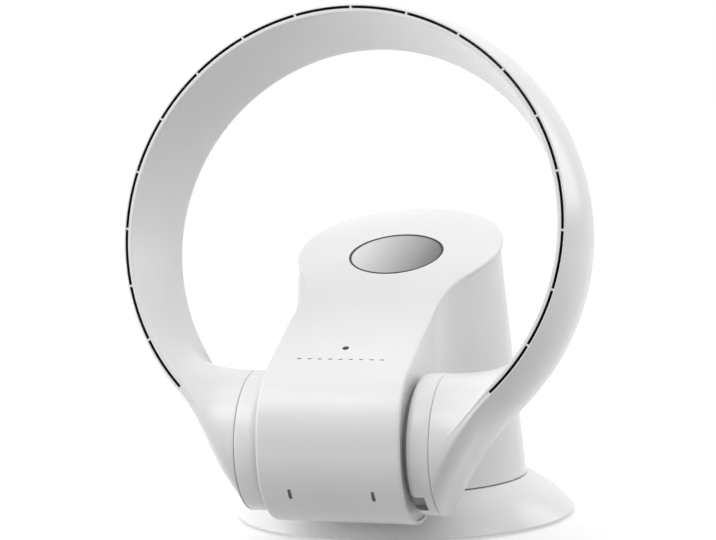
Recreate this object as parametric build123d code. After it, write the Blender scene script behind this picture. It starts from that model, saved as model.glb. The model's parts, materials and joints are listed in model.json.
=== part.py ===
from build123d import *
from math import asin, atan2, cos, degrees, radians, sin, sqrt, tan
import os

# A bladeless fan that stands on a table: a wide air ring leans back in front of a tapered
# column, and its two legs turn in collars at the ends of a drum below it.
# Millimetres and degrees. +X is the object's right in a view from the front, -Y is the way
# the air blows, +Z is up. The origin is where the swivel axis meets the table.

# ---------------------------------------------------------------- driving dimensions
# Tilt axis, which runs along X through the drum
pivot_y = -146.6
tube_gap = 0.1

# Air ring, measured from its own centre: r outwards, depth back from the outlet slot
ring_lean = 14.0
pivot_inset = 15.0
pivot_back = 53.4
arc_half = 135.0
slot_radius = 168.0
slot_width = 2.0
slot_depth = 7.0
inner_lip = 3.0
outer_lip = 1.6
throat_inset = 15.1
throat_depth = 79.0
belly_rise = 10.2
belly_depth = 48.0
tail_rise = 6.8
tail_round = 10.8
ring_wall = 2.2
wall_bow = 0.2
lip_root = 1.6
slot_foot = 6.0
rib_pitch_angle = 15.0
rib_last_angle = 120.0
rib_width = 1.6
rib_set_back = 0.3

# Ring legs and the rotary joints
leg_radius = 53.0
leg_wall = 2.4
web_lap = 6.0
web_foot = 12.0
web_slant = 53.0
web_taper = 14.0
web_step = 0.15
joint_gap = 0.4
collar_face = 74.3
collar_width = 17.8
collar_wall = 9.0
collar_edge = 1.0
collar_shoulder = 6.0
spigot_wall = 3.0
end_play = 0.8
bush_length = 18.0
bush_wall = 2.2
running_clearance = 0.06
tube_wall = 2.8
retainer_width = 2.4
retainer_inset = 5.5
retainer_play = 0.7
hub_flange = 2.5
flange_inset = 0.8
seal_height = 1.2
seal_gap = 0.05
notch_start_angle = 38.0
notch_span_angle = 18.8
notch_width = 11.0
notch_depth = 3.6
notch_set_back = 6.3

# Tilt stops
tilt_forward = 24.0
tilt_back = 76.0
stop_play_angle = 1.5
stop_span_angle = 10.0
stop_height = 3.4
stop_width = 4.5

# Front cover, which runs from the top of the column over the drum
cover_thickness = 3.0
cover_gap = 0.3
cover_half = 54.8
cover_round = 60.0
cover_lift = 8.5
cover_slope = 26.0
crown_radius = 1387.0
head_radius = 81.5
head_blend = 100.0
cover_tail_angle = 60.0
pull_slot_x = 32.0
pull_slot_angle = 31.5
pull_slot_width = 3.0
pull_slot_height = 10.0
pull_slot_depth = 1.8

# Column and neck
foot_z = 32.5
foot_radius = 97.3
column_taper = 0.0965
body_top = 262.0
body_bottom = 12.0
body_wall = 2.6
neck_inset = 2.0
foot_blend = 60.0
fit_gap = 0.2
roof_opening = 45.0

# Rear grille
grille_low = 62.0
grille_high = 190.0
grille_half = 56.0
louvre_height = 3.6
louvre_pitch = 7.2
louvre_bars = 5
louvre_bar = 3.0
grille_border = 5.0
flange_lap = 4.0
flange_thickness = 1.6
filter_thickness = 3.0

# Round display in the cover's head
display_y = -11.5
display_radius = 37.5
display_rim = 1.6
window_thickness = 1.6
bezel_height = 5.0
board_thickness = 1.6
board_drop = 8.0
indicator_y = -153.1
indicator_radius = 2.6
marks_y = -167.0
marks_pitch = 8.0
marks_count = 9
mark_width = 3.0
mark_height = 1.0
inlay_depth = 0.6

# Fan unit, on an axis along Y
fan_z = 112.0
shroud_bore = 61.0
shroud_wall = 2.5
shroud_front = -52.0
shroud_rear = 38.0
bellmouth = 6.0
tip_gap = 1.0
impeller_hub = 24.0
hub_skin = 3.0
hub_pocket = 6.0
seat_radius = 6.0
seat_low = 0.0
seat_height = 8.0
impeller_front = -2.0
impeller_rear = 24.0
spinner = 9.0
spinner_radius = 13.0
blade_count = 9
blade_chord = 27.0
blade_thickness = 2.0
blade_root_pitch = 52.0
blade_tip_pitch = 30.0
vane_count = 7
vane_thickness = 2.0
vane_length = 26.0
vane_ring_wall = 1.6
vane_root = 0.5
motor_radius = 20.0
motor_wall = 2.0
motor_front = -46.0
motor_length = 40.0
motor_cap = 5.0
bearing_radius = 5.5
bearing_width = 4.0
shaft_radius = 2.5
bearing_clearance = 0.05
rotor_radius = 11.0
rotor_length = 22.0
air_gap = 0.6
damper_wall = 2.0
nut_radius = 4.5
nut_height = 4.0
bulkhead_y = 27.0
bulkhead_thickness = 3.0
duct_wall = 2.2
duct_mouth_y = -100.0
duct_half_x = 40.0
duct_half_z = 32.0
duct_bulge = 2.0

# Base
rim_radius = 134.5
rim_z = 3.4
plateau_radius = 98.6
plateau_z = 31.5
base_bulge = 3.0
base_wall = 2.6
post_radius = 20.0
post_bore = 14.0
foot_pad_radius = 9.0
foot_pad_height = 2.4
foot_ring = 114.0
foot_pads = 5
centre_pad_radius = 13.0
plate_thickness = 2.0
ballast_outer = 92.0
ballast_inner = 26.0
ballast_height = 7.0
screw_radius = 1.5
screw_head = 3.0
screw_head_height = 1.3
screw_length = 12.0
screw_slot = 0.8
boss_radius = 4.0
boss_ring = 100.0

# Swivel bearing and its drive
thrust_inner = 70.0
thrust_outer = 82.0
thrust_gap = 0.1
floor_gap = 0.5
floor_thickness = 3.0
swivel_bush_wall = 3.0
gear_module = 1.0
gear_teeth = 90
pinion_teeth = 15
gear_thickness = 4.0
gear_play = 0.3
gear_backlash = 0.3
retainer_radius = 27.0
retainer_height = 1.8
swing_motor_radius = 11.0
swing_motor_height = 14.0
swing_motor_gap = 0.8
swing_shaft_radius = 2.0
swing_shaft_rise = 6.0
ear_half = 21.0
ear_depth = 4.0
ear_thickness = 1.6
ear_post_radius = 3.2
ear_post_x = 17.5
floor_boss_radius = 5.0
floor_boss_height = 12.0

# Sockets and boards
inlet_width = 16.0
inlet_height = 9.0
inlet_depth = 12.0
inlet_bore = 3.6
inlet_bore_depth = 10.0
inlet_set_back = 8.0
inlet_pin = 0.9
inlet_pin_length = 3.4
control_width = 76.0
control_height = 24.0
control_z = 194.0
chip_height = 5.0

# ---------------------------------------------------------------- derived places
pivot_drop = slot_radius - pivot_inset
throat_radius = slot_radius - throat_inset
belly_radius = slot_radius + belly_rise
tail_radius = slot_radius + tail_rise
lip_radius = slot_radius - slot_width / 2 - inner_lip
web_reach = lip_radius * sin(radians(arc_half)) + web_lap
leg_face = collar_face + joint_gap
collar_inner = collar_face - collar_width
tube_radius = leg_radius - collar_wall
tube_bore = tube_radius - tube_wall
bush_outer = tube_bore
bush_bore = bush_outer - bush_wall
hub_outer = bush_bore - running_clearance
hub_bore = hub_outer - spigot_wall
bush_start = collar_face - bush_length
spigot_end = bush_start - end_play
body_half = cover_half - neck_inset
thrust_top = foot_z + floor_gap - thrust_gap
floor_low = foot_z + floor_gap
floor_top = floor_low + floor_thickness
pivot_z = floor_top + tube_gap + tube_radius
gear_low = floor_top + gear_play
gear_top = gear_low + gear_thickness
post_top = gear_top + retainer_height
pitch_gear = gear_module * gear_teeth / 2
pitch_pinion = gear_module * pinion_teeth / 2
gear_centres = pitch_gear + pitch_pinion
plate_low = foot_pad_height
plate_top = plate_low + plate_thickness
beyond = 2 * rim_radius

ring_frame = Location((0, pivot_y, pivot_z), (-ring_lean, 0, 0))
tilt_frame = Location((0, pivot_y, pivot_z), (0, 0, 0))
fan_frame = Location((0, 0, fan_z), (-90, 0, 0))


# ---------------------------------------------------------------- general helpers
def mirrored(solid):
    """The left hand copy of a right hand piece."""
    return mirror(solid, about=Plane.YZ)


def disc(radius, low, high, x=0.0, y=0.0):
    """An upright cylinder from one height to another."""
    return Pos(x, y, (low + high) / 2) * Cylinder(radius, high - low)


def tube(outer, inner, low, high, x=0.0, y=0.0):
    """An upright tube from one height to another."""
    return disc(outer, low, high, x, y) - disc(inner, low - 1, high + 1, x, y)


def bar_x(radius, start, end):
    """A cylinder along X on the tilt axis."""
    placed = Pos((start + end) / 2, 0, 0) * Rot(0, 90, 0) * Cylinder(radius, end - start)
    return tilt_frame * placed


def tube_x(outer, inner, start, end):
    """A tube along X on the tilt axis."""
    return bar_x(outer, start, end) - bar_x(inner, start - 1, end + 1)


def slab(x_low, x_high, y_low, y_high, z_low, z_high):
    """A box given by its limits."""
    middle = Pos((x_low + x_high) / 2, (y_low + y_high) / 2, (z_low + z_high) / 2)
    return middle * Box(x_high - x_low, y_high - y_low, z_high - z_low)


def polar(radius, angle, z=0.0):
    """A place on a circle about the swivel axis; 90 degrees is the rear."""
    return Pos(radius * cos(radians(angle)), radius * sin(radians(angle)), z)


def sector(inner, outer, low, high, start, end):
    """A block between two radii, two heights and two angles about Z."""
    corners = [(inner, low), (outer, low), (outer, high), (inner, high)]
    face = make_face(Plane.XZ * Polyline(corners, close=True))
    return Rot(0, 0, start) * revolve(face, Axis.Z, end - start)


def spun(points, axis=Axis.Z):
    """A solid turned from a half profile of (radius, height) points."""
    return revolve(make_face(Plane.XZ * Polyline(points, close=True)), axis)


def screw(head_size, head_height, length):
    """A pan screw whose head's underside is at Z = 0 and whose shank goes up."""
    head = Pos(0, 0, -head_height / 2) * Cylinder(head_size, head_height)
    slot = Pos(0, 0, -head_height) * Box(head_size * 1.4, screw_slot, head_height)
    shank = Pos(0, 0, length / 2) * Cylinder(screw_radius, length)
    return head - slot + shank


# ---------------------------------------------------------------- front cover's side profile
def cover_points(offset):
    """Named points of the cover's side profile, moved in by an offset."""
    bend = cover_round - offset
    crown = crown_radius - offset
    slope = radians(cover_slope)
    lift_z = pivot_z + cover_lift
    meet = (pivot_y - bend * sin(slope), lift_z + bend * cos(slope))
    crown_centre = (meet[0] + crown * sin(slope), meet[1] - crown * cos(slope))
    return bend, crown, lift_z, meet, crown_centre


def cover_height(y, offset=0.0):
    """Height of the cover's top surface above a place on the Y axis."""
    _, crown, _, _, centre = cover_points(offset)
    return centre[1] + sqrt(crown ** 2 - (y - centre[0]) ** 2)


def cover_lean(y):
    """Slope of the cover's top surface at a place on the Y axis, in degrees."""
    _, crown, _, _, centre = cover_points(0.0)
    return degrees(asin((centre[0] - y) / crown))


def on_cover(x, y, drop=0.0):
    """A frame on the cover's top surface, its Z square to the surface."""
    place = Location((x, y, cover_height(y)), (cover_lean(y), 0, 0))
    return place * Pos(0, 0, -drop)


def cover_curve(offset, rear_y, tail_angle):
    """The profile's line from the rear of the top, over the drum, to its tail below."""
    bend, crown, lift_z, meet, centre = cover_points(offset)
    start = (rear_y, cover_height(rear_y, offset))
    middle_y = (rear_y + meet[0]) / 2
    middle = (middle_y, cover_height(middle_y, offset))
    half = radians((90 + cover_slope + 180) / 2)
    knee = (pivot_y + bend * cos(half), lift_z + bend * sin(half))
    tail = radians(-tail_angle)
    under = radians((-tail_angle - 180) / 2)
    top = ThreePointArc(start, middle, meet)
    front = ThreePointArc(meet, knee, (pivot_y - bend, lift_z))
    drop = Line((pivot_y - bend, lift_z), (pivot_y - bend, pivot_z))
    low_middle = (pivot_y + bend * cos(under), pivot_z + bend * sin(under))
    low_end = (pivot_y + bend * cos(tail), pivot_z + bend * sin(tail))
    low = ThreePointArc((pivot_y - bend, pivot_z), low_middle, low_end)
    return [top, front, drop, low]


def under_cover(offset, bottom):
    """A slab along X that fills the space below the cover, down to a flat bottom."""
    rear_y = rim_radius
    bend = cover_round - offset
    tail_angle = degrees(asin((pivot_z - foot_z) / bend))
    curve = cover_curve(offset, rear_y, tail_angle)
    low_end = curve[-1] @ 1
    rest = Polyline(
        (low_end.X, low_end.Y), (low_end.X, bottom), (rear_y, bottom),
        (rear_y, cover_height(rear_y, offset)),
    ) if bottom < foot_z else Polyline(
        (low_end.X, low_end.Y), (rear_y, bottom), (rear_y, cover_height(rear_y, offset)),
    )
    face = make_face(Plane.YZ * (Curve() + curve + rest))
    return extrude(face, rim_radius, both=True)


def plan_outline(radius, half, blend, front_y, z):
    """A circle about the swivel axis that flows into a straight strip towards the front."""
    centre_x = half + blend
    centre_y = -sqrt((radius + blend) ** 2 - centre_x ** 2)
    share = radius / (radius + blend)
    meet = (centre_x * share, centre_y * share)
    turn = (atan2(meet[1] - centre_y, meet[0] - centre_x) + radians(180)) / 2
    waist = (centre_x + blend * cos(turn), centre_y + blend * sin(turn))
    edges = [
        ThreePointArc((0, radius), (radius, 0), meet),
        ThreePointArc(meet, waist, (half, centre_y)),
        Line((half, centre_y), (half, front_y)),
        Line((half, front_y), (-half, front_y)),
        Line((-half, front_y), (-half, centre_y)),
        ThreePointArc((-half, centre_y), (-waist[0], waist[1]), (-meet[0], meet[1])),
        ThreePointArc((-meet[0], meet[1]), (-radius, 0), (0, radius)),
    ]
    return Pos(0, 0, z) * make_face(Curve() + edges)


def column_radius(z):
    """Outer radius of the tapered column at a height."""
    return foot_radius - column_taper * (z - foot_z)


def body_solid(inset, top_offset, bottom):
    """The column, neck and drum in one, moved in by an inset all round."""
    front_y = pivot_y - cover_round - 10
    low = plan_outline(
        column_radius(body_bottom) - inset, body_half - inset, foot_blend + inset,
        front_y, body_bottom,
    )
    high = plan_outline(
        column_radius(body_top) - inset, body_half - inset, head_blend + inset,
        front_y, body_top,
    )
    tapered = loft([low, high], ruled=True)
    return tapered & under_cover(top_offset, bottom)


# ---------------------------------------------------------------- air ring
def band_section(inset):
    """Corner and middle points (r, depth) of the ring's section: inner wall, tail, skin, front."""
    front_out = slot_radius + slot_width / 2 + outer_lip
    taper = (lip_radius - throat_radius) / throat_depth
    near = (lip_radius - taper * 3 * inset + inset, 3 * inset)
    far = (throat_radius + inset, throat_depth)
    tail = ((throat_radius + tail_radius) / 2, throat_depth + tail_round - inset)
    shoulder = (tail_radius - inset, throat_depth)
    skin = (front_out + inset * 0.3 - inset, 3 * inset)
    belly = (belly_radius - inset, belly_depth)
    half_in = ((near[0] + far[0]) / 2 - wall_bow, (near[1] + far[1]) / 2)
    lip = ((near[0] + skin[0]) / 2, near[1] - wall_bow)
    return [near, half_in, far, tail, shoulder, belly, skin, lip]


def band_plane(angle):
    """The plane that holds the section at an angle from the ring's top, with x outwards."""
    out = (sin(radians(angle)), 0, cos(radians(angle)))
    normal = (-cos(radians(angle)), 0, sin(radians(angle)))
    return Plane(origin=(0, -pivot_back, pivot_drop), x_dir=out, z_dir=normal)


def swept_band(points, start=-arc_half, end=arc_half):
    """A closed outline of lines and arcs turned round the ring's centre."""
    face = make_face(band_plane(start) * (Curve() + points))
    ring_axis = Axis((0, 0, pivot_drop), (0, 1, 0))
    return revolve(face, ring_axis, end - start)


def make_ring_outer():
    """Outer skin with the outer lip and the rounded tail, closed to the inner wall's end."""
    out = band_section(0.0)
    wall = band_section(ring_wall)
    gap_out = slot_radius + slot_width / 2
    edges = [
        Line((gap_out, 0), out[6]),
        ThreePointArc(out[6], out[5], out[4]),
        ThreePointArc(out[4], out[3], out[2]),
        Line(out[2], wall[2]),
        ThreePointArc(wall[2], wall[3], wall[4]),
        ThreePointArc(wall[4], wall[5], (gap_out + lip_root, slot_depth + slot_foot)),
        Line((gap_out + lip_root, slot_depth + slot_foot), (gap_out, slot_depth)),
        Line((gap_out, slot_depth), (gap_out, 0)),
    ]
    return ring_frame * swept_band(edges)


def make_ring_inner():
    """Inner wall with the inner lip of the outlet slot."""
    out = band_section(0.0)
    wall = band_section(ring_wall)
    gap_in = slot_radius - slot_width / 2
    edges = [
        Line((gap_in, 0), (gap_in, slot_depth)),
        Line((gap_in, slot_depth), (wall[0][0], slot_depth + slot_foot)),
        Line((wall[0][0], slot_depth + slot_foot), wall[2]),
        Line(wall[2], out[2]),
        ThreePointArc(out[2], out[1], out[0]),
        Line(out[0], (gap_in, 0)),
    ]
    return ring_frame * swept_band(edges)


def make_slot_ribs():
    """Small ribs that hold the outlet slot open."""
    gap_in = slot_radius - slot_width / 2
    gap_out = slot_radius + slot_width / 2
    corners = [
        (gap_in, rib_set_back), (gap_out, rib_set_back), (gap_out, slot_depth), (gap_in, slot_depth),
    ]
    box = Polyline(corners, close=True)
    half = degrees(rib_width / slot_radius) / 2
    steps = int(rib_last_angle / rib_pitch_angle)
    ribs = []
    for step in range(-steps, steps + 1):
        angle = step * rib_pitch_angle
        ribs.append(ring_frame * swept_band([box], angle - half, angle + half))
    return Compound(children=ribs)


leg_angles = [0.0, 80.0, 150.0, 170.0, 190.0, 265.0, 332.0, 346.0]


def leg_ends(inset):
    """Eight places on the ring's cut end, those on the round joint, and how level each arrives."""
    starts = []
    for radius, depth in band_section(inset):
        across = radius * sin(radians(arc_half))
        up = pivot_drop + radius * cos(radians(arc_half))
        starts.append(Vector(across, depth - pivot_back, up))
    ends = []
    levels = []
    radius = leg_radius - inset
    for angle in leg_angles:
        turn = radians(angle)
        ends.append(Vector(leg_face, -radius * cos(turn), radius * sin(turn)))
        levels.append(max(0.0, sin(turn)))
    return starts, ends, levels


def leg_wire(inset, share):
    """The leg's closed outline a share of the way from the ring to the joint."""
    starts, ends, levels = leg_ends(inset)
    along = Vector(cos(radians(arc_half)), 0, -sin(radians(arc_half)))
    points = []
    for start, end, level in zip(starts, ends, levels):
        chord = end - start
        leave = along * chord.length
        arrive = chord * (1 - level) + Vector(-1, 0, 0) * chord.length * level
        a = 2 * share ** 3 - 3 * share ** 2 + 1
        b = share ** 3 - 2 * share ** 2 + share
        c = 3 * share ** 2 - 2 * share ** 3
        d = share ** 3 - share ** 2
        points.append(start * a + leave * b + end * c + arrive * d)
    arcs = []
    for k in (0, 2, 4, 6):
        arcs.append(ThreePointArc(points[k], points[k + 1], points[(k + 2) % 8]).edge())
    return Wire(arcs)


def leg_loft(inset):
    """The leg's outer form, or its hollow, as one smooth body."""
    shares = (0.0, 0.25, 0.5, 0.75, 1.0)
    return Solid.make_loft([leg_wire(inset, share) for share in shares])


def leg_web():
    """Round shoulder in line with the joint that fills the corner above the leg."""
    length = web_reach - leg_face
    drum = Pos(leg_face + length / 2, 0, 0) * Rot(0, 90, 0) * Cylinder(leg_radius - web_step, length)
    reach = 2 * web_reach
    block = Rot(0, -web_slant, 0) * Pos(reach / 2, 0, reach / 2) * Box(2 * reach, reach, reach)
    kept = drum & Pos(leg_face, 0, -web_foot) * block
    front, middle, throat = band_section(0.0)[:3]
    rear = (throat[0] - web_taper, pivot_back + leg_radius)
    far = front[0] + reach
    outline = [
        Line(front, (far, front[1])), Line((far, front[1]), (far, rear[1] + 1)),
        Line((far, rear[1] + 1), (rear[0], rear[1] + 1)), Line((rear[0], rear[1] + 1), throat),
        ThreePointArc(throat, middle, front),
    ]
    return kept - swept_band(outline, 0, arc_half)


def make_leg():
    """Right leg: a hollow duct from the ring's end to a round spigot on the tilt axis."""
    skin = ring_frame * leg_loft(0.0) + ring_frame * leg_web()
    hollow = ring_frame * leg_loft(leg_wall)
    flange = tube_x(leg_radius - flange_inset, hub_bore, leg_face, leg_face + hub_flange) & skin
    spigot = tube_x(hub_outer, hub_bore, spigot_end, leg_face + hub_flange)
    return skin - hollow + flange + spigot


def make_hub_retainer():
    """Ring that holds the spigot in its bush, with the lug that meets the tilt stops."""
    back = spigot_end - retainer_width
    rim = tube_bore - retainer_play
    plate = tube_x(rim, hub_bore - retainer_inset, back, spigot_end)
    lug = tilt_frame * stop_block(
        -stop_span_angle / 2, stop_span_angle / 2, back - stop_width, back, rim - stop_height, rim,
    )
    return plate + lug


def stop_block(start, end, x_low, x_high, inner, outer):
    """A block on the tilt axis between two angles; 0 is the top, positive leans back."""
    block = sector(inner, outer, x_low, x_high, -end, -start)
    return Rot(0, 90, 0) * Rot(0, 0, 180) * block


def make_bush():
    """Plain bush that carries the leg's spigot."""
    return tube_x(bush_outer, bush_bore, bush_start, collar_face)


def make_collar():
    """Round collar on the end of the air tube, with a soft shoulder towards the drum."""
    body = tube_x(leg_radius, tube_radius, collar_inner, collar_face)
    for end, round_radius in ((0, collar_shoulder), (-1, collar_edge)):
        rims = body.edges().filter_by(GeomType.CIRCLE).filter_by(lambda e: e.radius > leg_radius - 0.1)
        body = fillet(rims.sort_by(Axis.X)[end], round_radius)
    return body


def latch_recess():
    """Space of the latch recess low at the front of the right collar."""
    high_x = collar_face - notch_set_back
    block = sector(
        leg_radius - notch_depth, leg_radius + 2, high_x - notch_width, high_x,
        notch_start_angle, notch_start_angle + notch_span_angle,
    )
    return tilt_frame * Rot(0, 90, 0) * Rot(0, 0, -90) * block


def make_seals():
    """Soft rings that close the running gap between each leg and its collar."""
    right = tube_x(hub_outer + seal_height + bush_wall, hub_outer, collar_face + seal_gap, leg_face)
    return right


# ---------------------------------------------------------------- drum and air path
def squared_wire(half_x, half_z, bulge, y, z):
    """A closed outline of four arcs in a plane square to Y."""
    a = Vector(-half_x, y, z - half_z)
    b = Vector(half_x, y, z - half_z)
    c = Vector(half_x, y, z + half_z)
    d = Vector(-half_x, y, z + half_z)
    arcs = [
        ThreePointArc(a, Vector(0, y, z - half_z - bulge), b).edge(),
        ThreePointArc(b, Vector(half_x + bulge, y, z), c).edge(),
        ThreePointArc(c, Vector(0, y, z + half_z + bulge), d).edge(),
        ThreePointArc(d, Vector(-half_x - bulge, y, z), a).edge(),
    ]
    return Wire(arcs)


def duct_loft(inset):
    """The duct's form between the fan's round end and the air tube's mouth."""
    radius = shroud_bore + shroud_wall - inset
    half = radius / sqrt(2)
    round_end = squared_wire(half, half, radius - half, shroud_front, fan_z)
    mouth = squared_wire(duct_half_x - inset, duct_half_z - inset, duct_bulge, duct_mouth_y, pivot_z)
    return Solid.make_loft([round_end, mouth], ruled=True)


def make_air_duct():
    """Duct that leads the air from the fan to the tube across the drum."""
    return duct_loft(0.0) - duct_loft(duct_wall)


def make_air_tube():
    """Tube across the drum that splits the air to both legs, with the tilt stops inside."""
    mouth = squared_wire(duct_half_x, duct_half_z, duct_bulge, duct_mouth_y, pivot_z)
    inner = squared_wire(
        duct_half_x - duct_wall, duct_half_z - duct_wall, duct_bulge, duct_mouth_y, pivot_z,
    )
    reach = duct_mouth_y - pivot_y
    neck = Solid.extrude(Face(mouth), Vector(0, -reach, 0))
    bore = Solid.extrude(Face(inner), Vector(0, -reach, 0))
    body = bar_x(tube_radius, -collar_face, collar_face) + neck
    body = body - bar_x(tube_bore, -collar_face - 1, collar_face + 1) - bore
    stop_low = spigot_end - retainer_width - stop_width
    span = stop_span_angle / 2 + stop_play_angle
    for start, end in (
        (tilt_back + span, tilt_back + span + stop_span_angle),
        (-tilt_forward - span - stop_span_angle, -tilt_forward - span),
    ):
        block = stop_block(
            start, end, stop_low, spigot_end - retainer_width,
            tube_bore - stop_height, tube_bore + tube_wall / 2,
        )
        right = tilt_frame * block
        body = body + right + mirrored(right)
    return body


def make_drum_holes():
    """The space that the air tube takes through the drum's end walls."""
    return bar_x(tube_radius + fit_gap, -body_half - 1, body_half + 1)


# ---------------------------------------------------------------- column
def grille_window(extra, z_extra):
    """The wedge behind the rear grille's opening."""
    return sector(
        body_top / 6, beyond, grille_low - z_extra, grille_high + z_extra,
        90 - grille_half - extra, 90 + grille_half + extra,
    )


def floor_boss_places():
    """Places of the four screw bosses about the column's foot."""
    ring = column_radius(floor_top) - body_wall - floor_boss_radius + 1
    return [(ring, angle) for angle in (5, 62, 118, 175)]


def make_housing_shell(outer, cavity):
    """Column, neck and drum in one moulding, open below and under the display."""
    shell = outer - cavity
    shell = shell - make_drum_holes()
    opening = on_cover(0, display_y) * Cylinder(roof_opening, 40)
    shell = shell - opening
    shell = shell - grille_window(0.0, 0.0)
    for ring, angle in floor_boss_places():
        boss = polar(ring, angle) * disc(floor_boss_radius, floor_top, floor_top + floor_boss_height)
        hole = polar(ring, angle) * disc(screw_radius, floor_low, floor_top + screw_length)
        shell = shell + (boss & outer) - hole
    return shell


def make_grille(outer, cavity):
    """Rear intake grille with rows of louvre slots and a lip behind its edges."""
    lap = degrees(flange_lap / foot_radius)
    skin = (outer - cavity) & grille_window(-degrees(fit_gap / foot_radius), -fit_gap)
    lip = cavity - body_solid(
        body_wall + flange_thickness, cover_thickness + cover_gap + body_wall, foot_z - 2,
    )
    lip = lip & (grille_window(lap, flange_lap) - grille_window(-lap, -flange_lap))
    rows = int((grille_high - grille_low - 2 * grille_border) / louvre_pitch)
    start_z = (grille_low + grille_high - (rows - 1) * louvre_pitch) / 2
    border = degrees(grille_border / foot_radius)
    sweep = 2 * (grille_half - border) / (louvre_bars + 1)
    bar = degrees(louvre_bar / foot_radius) / 2
    slots = []
    for row in range(rows):
        z = start_z + row * louvre_pitch
        for cell in range(louvre_bars + 1):
            first = 90 - grille_half + border + cell * sweep
            slots.append(sector(
                body_top / 6, beyond, z - louvre_height / 2, z + louvre_height / 2,
                first + bar, first + sweep - bar,
            ))
    return skin + lip - slots


def make_filter(cavity):
    """Washable dust filter behind the grille."""
    inset = body_wall + flange_thickness
    offset = cover_thickness + cover_gap + body_wall
    near = body_solid(inset, offset, foot_z - 2)
    far = body_solid(inset + filter_thickness, offset, foot_z - 2)
    return (near - far) & grille_window(0.0, 2.0)


def make_floor(cavity_fit):
    """Turntable that closes the housing below and turns on the base."""
    plate = cavity_fit & slab(-beyond, beyond, -beyond, beyond, floor_low, floor_top)
    plate = plate - disc(post_radius + swivel_bush_wall, 0, 60)
    for ring, angle in floor_boss_places():
        plate = plate - polar(ring, angle) * disc(screw_radius, 0, 60)
    return plate


def make_swivel_bush():
    """Plain bush between the turntable and the base's post."""
    return tube(post_radius + swivel_bush_wall, post_radius + running_clearance, floor_low, floor_top)


def make_floor_screws():
    """Screws that hold the turntable to the column's bosses."""
    one = screw(screw_head, screw_head_height - 0.4, screw_length)
    return Compound(children=[polar(ring, angle, floor_low) * one for ring, angle in floor_boss_places()])


def make_bulkhead(cavity_fit):
    """Upright wall that carries the fan and parts the intake from the pressure side."""
    wall = cavity_fit & slab(
        -beyond, beyond, bulkhead_y, bulkhead_y + bulkhead_thickness, floor_top, body_top,
    )
    wall = wall - disc(pitch_gear + 3, 0, gear_top + 1.5)
    wall = wall - on_cover(0, display_y, board_drop) * Cylinder(display_radius + fit_gap, 2 * board_drop)
    return wall - fan_frame * Cylinder(shroud_bore + shroud_wall, beyond)


# ---------------------------------------------------------------- front cover
def make_front_cover():
    """One long cover: round head on the column, strip down the neck and round the drum."""
    outer = cover_curve(0.0, rim_radius, cover_tail_angle)
    inner = cover_curve(cover_thickness, rim_radius, cover_tail_angle)
    ends = [Line(outer[0] @ 0, inner[0] @ 0), Line(outer[-1] @ 1, inner[-1] @ 1)]
    face = make_face(Plane.YZ * (Curve() + outer + inner + ends))
    band = extrude(face, rim_radius, both=True)
    plan = plan_outline(head_radius, cover_half, head_blend, pivot_y - cover_round - 10, 0)
    cover = band & extrude(plan, body_top)
    cover = cover - on_cover(0, display_y) * Cylinder(display_radius, 20)
    cover = cover - make_indicator()
    cover = cover - list(make_marks().solids())
    for side in (-1, 1):
        cover = cover - pull_slot(side * pull_slot_x)
    return cover


def pull_slot(x):
    """Upright pocket low on the drum's front."""
    pocket = Box(pull_slot_width, 2 * pull_slot_depth, pull_slot_height)
    pocket = fillet(pocket.edges().filter_by(Axis.Y), pull_slot_width / 2 - 0.1)
    return tilt_frame * Rot(pull_slot_angle, 0, 0) * Pos(x, -cover_round, 0) * pocket


def make_indicator():
    """Small dark receiver lens set in the cover."""
    return on_cover(0, indicator_y, cover_thickness / 2) * Cylinder(indicator_radius, cover_thickness)


def make_marks():
    """Row of plain level marks inlaid in the cover."""
    marks = []
    for step in range(marks_count):
        x = (step - (marks_count - 1) / 2) * marks_pitch
        mark = on_cover(x, marks_y, inlay_depth / 2) * Box(mark_width, mark_height, inlay_depth)
        marks.append(mark)
    return Compound(children=marks)


def make_bezel():
    """Thin dark rim that seats the display window in the cover."""
    rim = Cylinder(display_radius, bezel_height) - Cylinder(display_radius - display_rim, bezel_height + 1)
    ledge_low = -bezel_height / 2
    ledge_high = bezel_height / 2 - window_thickness
    ledge = Pos(0, 0, (ledge_low + ledge_high) / 2) * (
        Cylinder(display_radius, ledge_high - ledge_low)
        - Cylinder(display_radius - 2 * display_rim, ledge_high - ledge_low + 1)
    )
    return on_cover(0, display_y, bezel_height / 2 + 0.2) * (rim + ledge)


def make_window():
    """Flat smoked window of the round display."""
    place = on_cover(0, display_y, window_thickness / 2 + 0.2)
    return place * Cylinder(display_radius - display_rim, window_thickness)


def make_display_board():
    """Round touch and display board under the window."""
    radius = display_radius - 2 * display_rim
    board = on_cover(0, display_y, board_drop) * Cylinder(radius, board_thickness)
    rise = board_drop - board_thickness / 2 - window_thickness - 0.2
    digits = on_cover(0, display_y, board_drop - board_thickness / 2 - rise / 2) * Box(30, 16, rise)
    pads = []
    for angle in (30, 90, 150, 210, 270, 330):
        spot = Pos(26 * cos(radians(angle)), 26 * sin(radians(angle)), 0)
        pads.append(
            on_cover(0, display_y, board_drop - board_thickness / 2 - rise / 2) * spot * Cylinder(4, rise)
        )
    return board + digits + pads


def make_display_carrier():
    """Ring of clips that hangs the display board from the bezel."""
    low = board_drop + board_thickness / 2
    high = bezel_height + 0.2
    outer = display_radius
    inner = display_radius - 2 * display_rim
    middle = (low + high) / 2
    return on_cover(0, display_y, middle) * (
        Cylinder(outer, low - high) - Cylinder(inner, low - high + 1)
    )


# ---------------------------------------------------------------- fan unit
def make_shroud():
    """Round tunnel about the impeller with a flared intake."""
    outer = shroud_bore + shroud_wall
    straight = spun([
        (shroud_bore, shroud_front), (outer, shroud_front), (outer, shroud_rear - bellmouth),
        (outer + bellmouth, shroud_rear), (shroud_bore + bellmouth, shroud_rear),
        (shroud_bore, shroud_rear - bellmouth),
    ])
    return fan_frame * straight


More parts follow.
